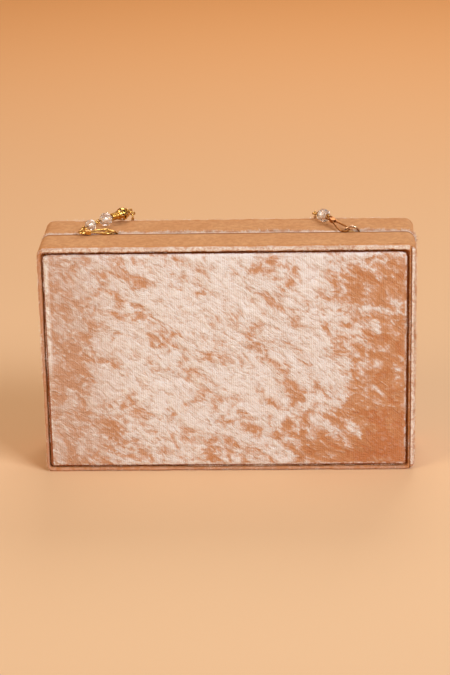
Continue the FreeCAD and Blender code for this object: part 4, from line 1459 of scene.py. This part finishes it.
@dataclass
class Rim(SoftPiece):
    """The raised velvet rim round a large face."""

    corner: float = 5 * MM
    inner_corner: float = 2.4 * MM
    groove: float = 0.9 * MM
    rows: int = 14
    cuts: tuple[int, int] = (96, 60)
    crown: float = 2.4
    card_gap: float = 0.05 * MM
    flange_lift: float = 0.12 * MM

    def build(self) -> bpy.types.Object:
        """Models the rim.

        Returns:
            The rim.
        """
        area = area_of(self.node("rim_piping"))
        panel = area_of(self.node("panel_velvet"))
        opening = panel.inside(-self.groove)
        near, far = self.reach("rim_piping")
        base = self.sign * near
        outer = self._outline("rim_outer", area, base, self.corner)
        inner = self._outline("rim_inner", opening, base + self.sign * MM, self.inner_corner)
        Bench.join(outer, inner)
        outer.name = self.node("rim")
        with Bench.editing(outer, "EDGE", "SELECT"):
            bpy.ops.mesh.bridge_edge_loops(number_cuts=self.rows, interpolation="LINEAR")
        for point in outer.data.vertices:
            share = abs(point.co.y - base) / MM
            rest = max(0.0, 1 - abs(2 * share - 1) ** self.crown)
            point.co.y = base + self.sign * (far - near) * rest ** (1 / self.crown)
        with Bench.editing(outer, "EDGE") as mesh:
            Bench.choose(outer, mesh.edges, lambda edge: edge.is_boundary)
            bpy.ops.mesh.bridge_edge_loops()
        Bench.outward(outer)
        Bench.ruffle(outer, height=0.38 * MM, span=5 * MM, seed=self.sign * 3)
        Bench.ruffle(outer, height=0.3 * MM, span=16 * MM, seed=self.sign * 5)
        self._flange(outer, opening, near)
        Slack(panel, area).apply(outer)
        Bench.smooth(outer, 60)
        finish = PipedVelvet(f"Piped velvet {self.half.word}", panel, far)
        return self.hand_over(outer, finish, "velvet", "rim_piping")

    def _flange(self, rim: bpy.types.Object, opening: Area, near: float) -> None:
        """Adds the strip of velvet that runs from the rim to under the panel.

        Args:
            rim: The rim, which takes the strip in.
            opening: The rectangle inside the rim.
            near: The distance of the strip's foot from the seam plane.
        """
        strip = Bench.plate("flange", opening.inside(-self.flange_lift),
                            self.sign * (near + self.flange_lift), self.sign,
                            self.inner_corner, self.corner_steps)
        reach = area_of(self.node("panel_card")).left - opening.left - self.card_gap
        with Bench.editing(strip, "FACE", "SELECT"):
            bpy.ops.mesh.inset(thickness=reach, depth=0)
            bpy.ops.mesh.delete(type="FACE")
        Bench.modify(strip, "SOLIDIFY", thickness=0.8 * self.flange_lift, offset=-1.0)
        Bench.join(rim, strip)

    def _outline(self, name: str, area: Area, y: float, radius: float) -> bpy.types.Object:
        """A rounded outline with points all along it.

        Args:
            name: The object's name.
            area: Its rectangle.
            y: Its plane.
            radius: The radius of its corners.

        Returns:
            The outline.
        """
        piece = Bench.plate(name, area, y, self.sign, radius, self.corner_steps)
        with Bench.editing(piece, "FACE", "SELECT"):
            bpy.ops.mesh.delete(type="ONLY_FACE")
        for way, cuts in zip((Way.ALONG, Way.UP), self.cuts):
            Bench.divide(piece, way, cuts, self.long_side)
        return piece


@dataclass
class PaddedPanel(SoftPiece):
    """The padded panel of crushed velvet set into a rim."""

    cells: tuple[int, int] = (110, 70)
    corner: float = 2.4 * MM
    edge_drop: float = 0.9 * MM
    edge_width: float = 1.6 * MM
    tack_share: float = 0.05
    stretch: float = -0.012
    most: float = 0.4 * MM
    card: float = 1.05 * MM
    frames: int = 20

    def build(self) -> bpy.types.Object:
        """Models the panel, with a cloth simulation for the lie of its cover.

        Returns:
            The panel.
        """
        area = area_of(self.node("panel_velvet"))
        near, far = self.reach("panel_velvet")
        piece = Bench.grid(self.node("padded_panel"), area, self.sign * far, self.sign,
                           self.cells, self.corner)
        self._turn_down(piece, area)
        self._settle(piece)
        Bench.ruffle(piece, height=0.22 * MM, span=6 * MM, seed=self.sign * 2)
        Bench.draw_out(piece, area, self.corner, [(0.0, self.sign * (near + self.card))])
        with Bench.editing(piece, "EDGE") as mesh:
            Bench.choose(piece, mesh.edges, lambda edge: edge.is_boundary)
            bpy.ops.mesh.fill(use_beauty=False)
        Slack(area, area_of(self.node("rim_piping"))).apply(piece)
        Bench.outward(piece)
        Bench.modify(piece, "SUBSURF", levels=1, render_levels=1)
        Bench.smooth(piece, 60)
        finish = CrushedVelvet(f"Crushed velvet {self.half.word}", area, -float(self.sign))
        return self.hand_over(piece, finish, "panel_velvet", "panel_velvet", "panel_foam")

    def _turn_down(self, piece: bpy.types.Object, area: Area) -> None:
        """Turns the edges of the cover down.

        Args:
            piece: The cover.
            area: Its rectangle.
        """
        for point in piece.data.vertices:
            margin = min(point.co.x - area.left, area.right - point.co.x,
                         point.co.z - area.bottom, area.top - point.co.z)
            share = min(1.0, max(0.0, 1 - margin / self.edge_width))
            point.co.y -= self.sign * self.edge_drop * (1 - math.sqrt(1 - share ** 2))

    def _settle(self, piece: bpy.types.Object) -> None:
        """Lets the cover settle as cloth that is tacked to its foam here and there.

        Args:
            piece: The cover.
        """
        Bench.pick(piece)
        rest = [point.co.copy() for point in piece.data.vertices]
        with Bench.editing(piece, "VERT") as mesh:
            edge = {point.index for point in mesh.verts if point.is_boundary}
        chance = random.Random(40 + self.sign)
        tacks = piece.vertex_groups.new(name="tacks")
        held = [i for i in range(len(rest)) if i in edge or chance.random() < self.tack_share]
        tacks.add(held, 1.0, "REPLACE")
        cloth = piece.modifiers.new("Cloth", "CLOTH")
        settings = cloth.settings
        settings.quality = 4
        settings.mass = 0.2
        settings.vertex_group_mass = "tacks"
        settings.shrink_min = self.stretch
        settings.tension_stiffness = 20
        settings.compression_stiffness = 20
        settings.bending_stiffness = 0.4
        settings.use_pressure = True
        settings.uniform_pressure_force = 2.0
        settings.effector_weights.gravity = 0
        scene = bpy.context.scene
        for step in range(1, self.frames + 1):
            scene.frame_set(step)
        bpy.ops.object.modifier_apply(modifier=cloth.name)
        scene.frame_set(1)
        piece.vertex_groups.clear()
        for point, start in zip(piece.data.vertices, rest):
            move = point.co - start
            if move.length > self.most:
                move *= self.most / move.length
            point.co = start + move


@dataclass
class Lining(SoftPiece):
    """The satin tray inside a half."""

    thickness: float = 0.35 * MM
    floor_turn: float = 1.2 * MM
    cells: tuple[int, int] = (64, 40)
    corner: float = 1.0 * MM
    room: float = 0.3 * MM
    leaf_top: float = 4.7 * MM
    tab_drop: float = 1.2 * MM

    def build(self) -> bpy.types.Object:
        """Models the tray.

        Returns:
            The tray.
        """
        area = area_of(self.node("lining"))
        near, far = self.reach("lining")
        floor = area.inside(self.thickness + self.floor_turn)
        piece = Bench.grid(self.node("satin_tray"), floor, self.sign * (far - self.thickness),
                           -self.sign, self.cells, self.corner)
        depths = [far - self.thickness - self.floor_turn * share for share in (0.3, 1.0)]
        depths += [near + (depths[-1] - near) * share for share in (0.8, 0.6, 0.4, 0.2, 0.0)]
        outs = [0.7 * self.floor_turn, 0.3 * self.floor_turn, 0, 0, 0, 0, 0]
        Bench.draw_out(piece, floor, self.corner,
                       [(out, self.sign * depth) for out, depth in zip(outs, depths)])
        self._openings(piece, area)
        Bench.ruffle(piece, height=0.2 * MM, span=11 * MM, seed=self.sign * 8)
        Bench.modify(piece, "SOLIDIFY", thickness=self.thickness, offset=-1.0)
        Bench.smooth(piece, 50)
        return self.hand_over(piece, SATIN, "lining", "lining")

    def _openings(self, piece: bpy.types.Object, area: Area) -> None:
        """Cuts the tray round the leaves of the hinges and the tabs of the rings.

        Args:
            piece: The tray.
            area: Its rectangle.
        """
        for side in SIDES:
            leaf = f"{side}_hinge_{self.half.word}_leaf"
            end = max(abs(corner[1]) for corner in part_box(leaf)) + self.room
            self.cut_round(piece, leaf, self.room, (0.0, end), (0.0, self.leaf_top))
            if self.half is Half.BACK:
                tab = f"{side}_ring_tab"
                self.cut_round(piece, tab, self.room, (0.0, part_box(tab)[1][1] + self.room),
                               (area.top - self.tab_drop, area.top + MM))


@dataclass(frozen=True, kw_only=True)
class FringeRow:
    """A row of strands along a rounded outline.

    out and deep give the way the strands point, keep is the share of them that stands, and the
    thinning share is left out along the left edge and the foot: painted shade, as these pale
    strands stand for light caught by the pile.
    """

    area: Area
    y: float
    radius: float
    out: float
    deep: float
    spacing: float
    width: float
    length: tuple[float, float]
    spread: float
    keep: float
    worn: float = 0.0
    bare: tuple[tuple[float, float], ...] = ()

    def is_bare(self, x: float, outward: Vector) -> bool:
        """Whether no strand may stand at a place: below, at the hinges, or under a clasp."""
        under = any(low < x < high for low, high in self.bare)
        return bool(self.bare) and (outward.y < -0.3 or (outward.y > 0.5 and under))


@dataclass
class PileFringe(SoftPiece):
    """Short strands of pile that stand proud along the edges of a half."""

    strands: list = field(default_factory=list)
    clasp_room: float = 1 * MM
    clumps: tuple[tuple[float, float], ...] = ((0.6, 330), (0.9, 75), (0.6, 24))

    def rows(self) -> list[FringeRow]:
        """The rows: along the mouth, over the rim's crest and round the panel.

        Returns:
            The rows.
        """
        area = area_of(self.node("side_velvet"))
        panel = area_of(self.node("panel_velvet"))
        mouth = self.reach("side_velvet")[0]
        face = self.reach("rim_piping")[1]
        crest = 0.75 if self.half is Half.FRONT else 0.35
        rows = [
            FringeRow(
                area=area.inside(0.9 * MM), y=face - 0.45 * MM, radius=4.2 * MM, out=0.7,
                deep=0.6, spacing=0.055 * MM, width=0.2 * MM, length=(0.5 * MM, 1.8 * MM),
                spread=0.35 * MM, keep=crest, worn=0.4),
            FringeRow(
                area=panel.inside(-1.8 * MM), y=face - 0.25 * MM, radius=3 * MM, out=-0.6,
                deep=0.9, spacing=0.06 * MM, width=0.18 * MM, length=(0.4 * MM, 1.0 * MM),
                spread=0.3 * MM, keep=0.25, worn=0.2),
            FringeRow(
                area=panel.inside(0.4 * MM), y=face - 0.6 * MM, radius=2.2 * MM, out=0.9,
                deep=0.5, spacing=0.08 * MM, width=0.16 * MM, length=(0.3 * MM, 0.8 * MM),
                spread=0.15 * MM, keep=0.35),
        ]
        if self.half is Half.BACK:
            rows.append(FringeRow(
                area=area.inside(0.3 * MM), y=mouth + 0.8 * MM, radius=4.8 * MM, out=1.0,
                deep=-0.1, spacing=0.055 * MM, width=0.26 * MM, length=(0.7 * MM, 2.1 * MM),
                spread=0.35 * MM, keep=0.85, bare=self._bare_spans()))
        return rows

    def _bare_spans(self) -> tuple[tuple[float, float], ...]:
        """The spans along the top, by the clasps, where no strand stands on the mouth."""
        boxes = [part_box(f"{side}_clasp_{part}") for side in SIDES for part in ("gate", "hook")]
        return tuple((low[0] - self.clasp_room, high[0] + self.clasp_room)
                     for low, high in boxes)

    def build(self) -> bpy.types.Object:
        """Models the strands.

        Returns:
            The strands, as one piece.
        """
        chance = random.Random(7 + self.sign)
        slack = Slack(area_of(self.node("panel_velvet")), area_of(self.node("rim_piping")))
        for row in self.rows():
            self._set(chance, row, slack)
        points = []
        faces = []
        for strand in self.strands:
            start = len(points)
            points += strand
            faces += [(start, start + 1, start + 3), (start + 1, start + 2, start + 3),
                      (start + 2, start, start + 3), (start, start + 2, start + 1)]
        mesh = bpy.data.meshes.new(self.node("edge_pile"))
        mesh.from_pydata(points, [], faces)
        piece = bpy.data.objects.new(self.node("edge_pile"), mesh)
        bpy.context.scene.collection.objects.link(piece)
        Bench.outward(piece)
        return self.hand_over(piece, STRANDS, "velvet")

    def _set(self, chance: random.Random, row: FringeRow, slack: Slack) -> None:
        """Sets one row of strands.

        Args:
            chance: The source of their unevenness.
            row: The row.
            slack: The move of the panel's edges.
        """
        for place, outward, along in walk_outline(row.area, row.radius, row.spacing):
            spot = Vector((place.x, row.y * 9, place.y))
            clump = sum(weight * noise.noise(spot * scale) for weight, scale in self.clumps)
            # Painted shade: fewer pale strands along the left edge and the foot, the sides in
            # shade.
            turned = row.worn if min(outward.x, outward.y) < -0.5 else 0.0
            stands = chance.random() <= row.keep - turned + 0.5 * clump
            if not stands or row.is_bare(place.x, outward):
                continue
            length = chance.uniform(*row.length) * (0.85 + 0.6 * clump)
            way = Vector((outward.x * row.out, self.sign * row.deep, outward.y * row.out))
            lean = chance.gauss(0, 0.5)
            way += Vector((along.x * lean, self.sign * chance.gauss(0, 0.25), along.y * lean))
            way = way.normalized() * length
            moved = slack.shift(place.x, place.y)
            root = Vector((place.x + moved[0], self.sign * row.y, place.y + moved[1]))
            root += Vector([chance.gauss(0, row.spread) for _ in range(3)])
            if (root + way).z < 0:
                continue
            side = way.cross(Vector((outward.x, 0.3, outward.y))).normalized() * row.width / 2
            rise = way.cross(side).normalized() * row.width / 2
            self.strands.append([root + side, root + rise, root - side - rise, root + way])


def walk_outline(area: Area, radius: float, spacing: float
                 ) -> Iterator[tuple[Vector, Vector, Vector]]:
    """Steps evenly round a rectangle with round corners.

    Args:
        area: The rectangle.
        radius: The radius of its corners.
        spacing: The step.

    Returns:
        For each step, the place, the way out and the way along, in x and z.
    """
    width, height = (length - 2 * radius for length in area.size)
    right, left = area.right - radius, area.left + radius
    top, bottom = area.top - radius, area.bottom + radius
    sides = [((right, bottom), (1, 0), height), ((right, top), (0, 1), width),
             ((left, top), (-1, 0), height), ((left, bottom), (0, -1), width)]
    for corner, way_out, run in sides:
        start, outward = Vector(corner), Vector(way_out)
        along = Vector((-outward.y, outward.x))
        for step in range(int(run / spacing)):
            yield start + outward * radius + along * step * spacing, outward, along
        centre = start + along * run
        count = int(radius * math.pi / 2 / spacing)
        for step in range(count):
            turn = math.pi / 2 * step / count
            way = outward * math.cos(turn) + along * math.sin(turn)
            yield centre + way * radius, way, Vector((-way.y, way.x))


# ---- sub-assemblies ------------------------------------------------------------------------------
@dataclass
class CaseHalf:
    """One half of the case with its board, magnets, rivets and fabric."""

    half: Half

    def build(self) -> None:
        """Builds the fabric and dresses the CAD nodes."""
        word = self.half.word
        SideWrap(self.half).build()
        Rim(self.half).build()
        PaddedPanel(self.half).build()
        Lining(self.half).build()
        PileFringe(self.half).build()
        finish_nodes(GREY_BOARD, f"{word}_wall_frame", f"{word}_face_board")
        finish_nodes(CARD, f"{word}_panel_card")
        finish_nodes(FOAM, f"{word}_panel_foam")
        finish_nodes(MAGNET_METAL, f"{word}_magnets")
        finish_nodes(HINGE_BRASS, f"{word}_hinge_rivets")


@dataclass
class Hinges:
    """The two butt hinges in the bottom seam."""

    def build(self) -> None:
        """Dresses the leaves and pins."""
        for side in SIDES:
            finish_nodes(HINGE_BRASS, f"{side}_hinge_back_leaf", f"{side}_hinge_front_leaf",
                         f"{side}_hinge_pin")


@dataclass
class RingsAndClasps:
    """The rings in the top seam and the clasps on them."""

    def build(self) -> None:
        """Dresses the rings, tabs and clasps."""
        for side, ring, clasp in (("left", GOLD_WIRE, GOLD_WIRE),
                                  ("right", ROSE_WIRE, AGED_WIRE)):
            finish_nodes(ring, f"{side}_ring")
            finish_nodes(clasp, f"{side}_clasp_hook", f"{side}_clasp_gate",
                         f"{side}_clasp_pin")
            finish_nodes(HINGE_BRASS, f"{side}_ring_tab")
        finish_nodes(HINGE_BRASS, "ring_tab_rivets")


@dataclass
class BeadLeads:
    """The beaded ends of the handle that lie on the case."""

    wires: tuple[str, ...] = ("left_jump_ring", "left_small_pin", "left_long_pin",
                              "left_edge_link", "right_pin")
    beads: tuple[str, ...] = ("left_coiled_collar", "right_spool")
    crystals: tuple[str, ...] = ("left_crystals", "right_crystal")

    def build(self) -> None:
        """Dresses the wires and beads."""
        finish_nodes(GOLD_WIRE, *self.wires)
        finish_nodes(GOLD_BEAD, *self.beads)
        PiercedBead().build()
        finish_nodes(CRYSTAL, *self.crystals)


@dataclass
class PiercedBead:
    """The hollow barrel bead on the left lead, with rows of holes and a lip at each end."""

    node: str = "left_filigree_bead"
    before: str = "left_coiled_collar"
    body: str = "back_half"
    sides: int = 12
    length: float = 7.6 * MM
    rings: tuple[float, ...] = (2.9 * MM, 2.6 * MM, 3.5 * MM, 3.7 * MM, 3.5 * MM,
                                2.6 * MM, 2.9 * MM)
    bore: float = 0.65 * MM
    pierced: tuple[int, ...] = (1, 2, 3, 4)
    bar: float = 0.04 * MM
    wall: float = 0.3 * MM

    def build(self) -> bpy.types.Object:
        """Models the bead along z, then turns it to lie along its lead.

        Returns:
            The bead.
        """
        middle, before = (self._middle(node) for node in (self.node, self.before))
        Bench.clear()
        bpy.ops.mesh.primitive_cylinder_add(
            vertices=self.sides, radius=self.rings[0], depth=self.length,
            end_fill_type="NOTHING", location=(0, 0, 0))
        piece = bpy.context.active_object
        piece.name = "left_pierced_bead"
        steps = len(self.rings) - 1
        Bench.divide(piece, Way.UP, steps - 1, 0.5 * self.length)
        for point in piece.data.vertices:
            ring = self.rings[round((point.co.z / self.length + 0.5) * steps)]
            point.co.xy = point.co.xy.normalized() * ring
        self._close_ends(piece)
        self._pierce(piece, steps)
        Bench.outward(piece)
        outside = len(piece.data.vertices)
        Bench.modify(piece, "SOLIDIFY", thickness=self.wall, offset=-1.0)
        mark = piece.data.attributes.new(PiercedMetal.mark, "FLOAT", "POINT")
        for index, value in enumerate(mark.data):
            value.value = float(index >= outside)
        Bench.modify(piece, "SUBSURF", levels=2, render_levels=2)
        turn = (middle - before).to_track_quat("Z", "Y").to_matrix().to_4x4()
        piece.matrix_world = Matrix.Translation(middle) @ turn
        Bench.pick(piece)
        bpy.ops.object.transform_apply(location=True, rotation=True, scale=True)
        Bench.smooth(piece, 60)
        gold = PiercedMetal("Pierced gold", GOLD_BEAD.bright, GOLD_BEAD.dull, GOLD_BEAD.rough)
        return hand_over(piece, gold, "gold_bead", self.body, self.node)

    @staticmethod
    def _middle(node: str) -> Vector:
        """The middle of a node's box."""
        low, high = (Vector(corner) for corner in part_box(node))
        return (low + high) / 2

    def _close_ends(self, piece: bpy.types.Object) -> None:
        """Draws the open ends in to the bore.

        Args:
            piece: The bead.
        """
        with Bench.editing(piece, "EDGE") as mesh:
            Bench.choose(piece, mesh.edges, lambda edge: edge.is_boundary)
            bpy.ops.mesh.extrude_region_move()
        with Bench.editing(piece, "VERT") as mesh:
            for point in mesh.verts:
                if point.is_boundary:
                    point.co.xy = point.co.xy.normalized() * self.bore
            bmesh.update_edit_mesh(piece.data)

    def _pierce(self, piece: bpy.types.Object, steps: int) -> None:
        """Cuts the rows of holes, each row half a step round from the last.

        Args:
            piece: The bead.
            steps: The number of rows of faces.
        """
        def wanted(face: bmesh.types.BMFace) -> bool:
            """Whether a face is one of those cut away."""
            middle = face.calc_center_median()
            row = int((middle.z / self.length + 0.5) * steps)
            turn = math.atan2(middle.y, middle.x) % (2 * math.pi)
            column = int(turn / (2 * math.pi) * self.sides)
            return row in self.pierced and (row + column) % 2 == 0

        with Bench.editing(piece, "FACE") as mesh:
            Bench.choose(piece, mesh.faces, wanted)
            bpy.ops.mesh.inset(thickness=self.bar, depth=0, use_individual=True)
            bpy.ops.mesh.delete(type="FACE")


@dataclass
class HandleLoop:
    """The beaded loop that hangs behind the case."""

    diameter: float = 0.8 * MM
    length: float = 0.2191
    setback: float = 30.3 * MM
    top: float = 130 * MM
    ends: tuple[tuple[float, float], tuple[float, float]] = ((-53.97, -1.48), (47.97, -1.48))
    route: tuple[tuple[float, float], ...] = (
        (-53.2, -25.5), (-47.6, -50.5), (-34.8, -71.5), (-14.5, -84.5), (9.5, -85.0),
        (29.6, -73.5), (42.2, -52.3), (47.3, -27.0))

    def build(self) -> None:
        """Strings the wire and dresses the beads."""
        places = [self.ends[0], *self.route, self.ends[1]]
        points = [(x * MM, self.setback, self.top + z * MM) for x, z in places]
        curve = bpy.data.curves.new("loop_wire", "CURVE")
        curve.dimensions = "3D"
        curve.bevel_depth = self.diameter / 2
        curve.bevel_resolution = 3
        curve.resolution_u = 24
        curve.use_fill_caps = True
        spline = curve.splines.new("NURBS")
        spline.points.add(len(points) - 1)
        for point, place in zip(spline.points, points):
            point.co = (*place, 1.0)
        spline.order_u = 3
        spline.use_endpoint_u = True
        piece = bpy.data.objects.new("loop_wire", curve)
        bpy.context.scene.collection.objects.link(piece)
        curve.materials.append(GOLD_WIRE.material())
        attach(piece, "handle_loop")
        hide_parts("handle_wire")
        finish_nodes(CRYSTAL, "handle_crystals")
        finish_nodes(GOLD_BEAD, "handle_gold_beads", "handle_discs")
        finish_nodes(GOLD_WIRE, "handle_end_eyes")


@dataclass(frozen=True)
class Lamp:
    """A square soft lamp that faces the purse; size is its side and power is in watts."""

    name: str
    place: tuple[float, float, float]
    size: float
    power: float
    colour: tuple[float, float, float]
    aim: tuple[float, float, float] = (0, 0, 60 * MM)

    def build(self) -> None:
        """Hangs the lamp."""
        data = bpy.data.lights.new(self.name, "AREA")
        data.size = self.size
        data.energy = self.power
        data.color = self.colour
        lamp = bpy.data.objects.new(self.name, data)
        lamp.location = self.place
        way = Vector(self.aim) - Vector(self.place)
        lamp.rotation_euler = way.to_track_quat("-Z", "Y").to_euler()
        bpy.context.scene.collection.objects.link(lamp)


@dataclass
class Studio:
    """The floor, lamps and camera."""

    lens: float = 113.92
    camera_place: tuple[float, float, float] = (0.0435, -1.1142, 0.4731)
    pitch: float = 19.917
    yaw: float = 2.367
    roll: float = -1.271
    sweep: float = 3.0
    bend: float = 0.8
    bend_steps: int = 12
    world: Colour = (1.0, 0.73, 0.46, 1.0)
    world_strength: float = 0.28
    seen_world: Colour = (1.0, 0.84, 0.68, 1.0)
    seen_strength: float = 0.9
    gloss_share: float = 0.3
    lamps: tuple[Lamp, ...] = (
        Lamp("key", (1.0, -0.95, 1.25), 0.8, 21.5, (0.94, 1.0, 1.10)),
        Lamp("fill", (-1.0, -0.8, 0.85), 0.7, 7.5, (1.0, 0.82, 0.62)),
        Lamp("rear", (0.15, 1.15, 1.3), 0.8, 9.0, (1.0, 0.98, 0.96)),
    )

    def build(self) -> None:
        """Sets up the floor, lamps and camera."""
        self._floor()
        self._camera()
        for lamp in self.lamps:
            lamp.build()
        world = bpy.context.scene.world or bpy.data.worlds.new("Studio")
        bpy.context.scene.world = world
        world.use_nodes = True
        desk = Desk(world.node_tree)
        sky = world.node_tree.nodes["Background"]
        path = desk.node("LightPath").outputs
        seen = desk.sum("MAXIMUM", path["Is Camera Ray"], path["Is Transmission Ray"])
        seen = desk.sum("MULTIPLY_ADD", path["Is Glossy Ray"], self.gloss_share, seen)
        desk.feed(sky.inputs["Color"], desk.mix(seen, self.world, self.seen_world))
        desk.feed(sky.inputs["Strength"], desk.sum(
            "MULTIPLY_ADD", seen, self.seen_strength - self.world_strength,
            self.world_strength))
        bpy.context.scene.view_settings.view_transform = "Standard"

    def _floor(self) -> None:
        """The paper sweep: floor, curve and wall in one sheet."""
        Bench.clear()
        bpy.ops.mesh.primitive_plane_add(size=2 * self.sweep, location=(0, 0, 0))
        paper = bpy.context.active_object
        paper.name = "paper_sweep"

        def at_fold(edge: bmesh.types.BMEdge) -> bool:
            """Whether an edge is the back one of the floor."""
            return all(point.co.y > 0 and abs(point.co.z) < 1e-6 for point in edge.verts)

        with Bench.editing(paper, "EDGE") as mesh:
            Bench.choose(paper, mesh.edges, at_fold)
            bpy.ops.mesh.extrude_region_move(
                TRANSFORM_OT_translate={"value": (0, 0, self.sweep)})
        with Bench.editing(paper, "EDGE") as mesh:
            Bench.choose(paper, mesh.edges, at_fold)
            bpy.ops.mesh.bevel(offset=self.bend, segments=self.bend_steps)
        Bench.smooth(paper, 80)
        paper.data.materials.append(StudioPaper("Studio paper").material())

    def _camera(self) -> None:
        """The camera, as far back as a long lens needs."""
        data = bpy.data.cameras.new("camera")
        data.lens = self.lens
        data.clip_end = 50
        camera = bpy.data.objects.new("camera", data)
        turn = Matrix.Rotation(math.radians(self.yaw), 4, "Z")
        turn = turn @ Matrix.Rotation(math.radians(90 - self.pitch), 4, "X")
        turn = turn @ Matrix.Rotation(math.radians(self.roll), 4, "Z")
        camera.matrix_world = Matrix.Translation(self.camera_place) @ turn
        bpy.context.scene.collection.objects.link(camera)
        bpy.context.scene.camera = camera


def main() -> None:
    """Builds the purse and its studio, piece by piece."""
    logging.basicConfig(level=logging.INFO, format="%(message)s")
    Studio().build()
    HandleLoop().build()
    for half in Half:
        CaseHalf(half).build()
    Hinges().build()
    RingsAndClasps().build()
    BeadLeads().build()


if __name__ == "__main__":
    main()
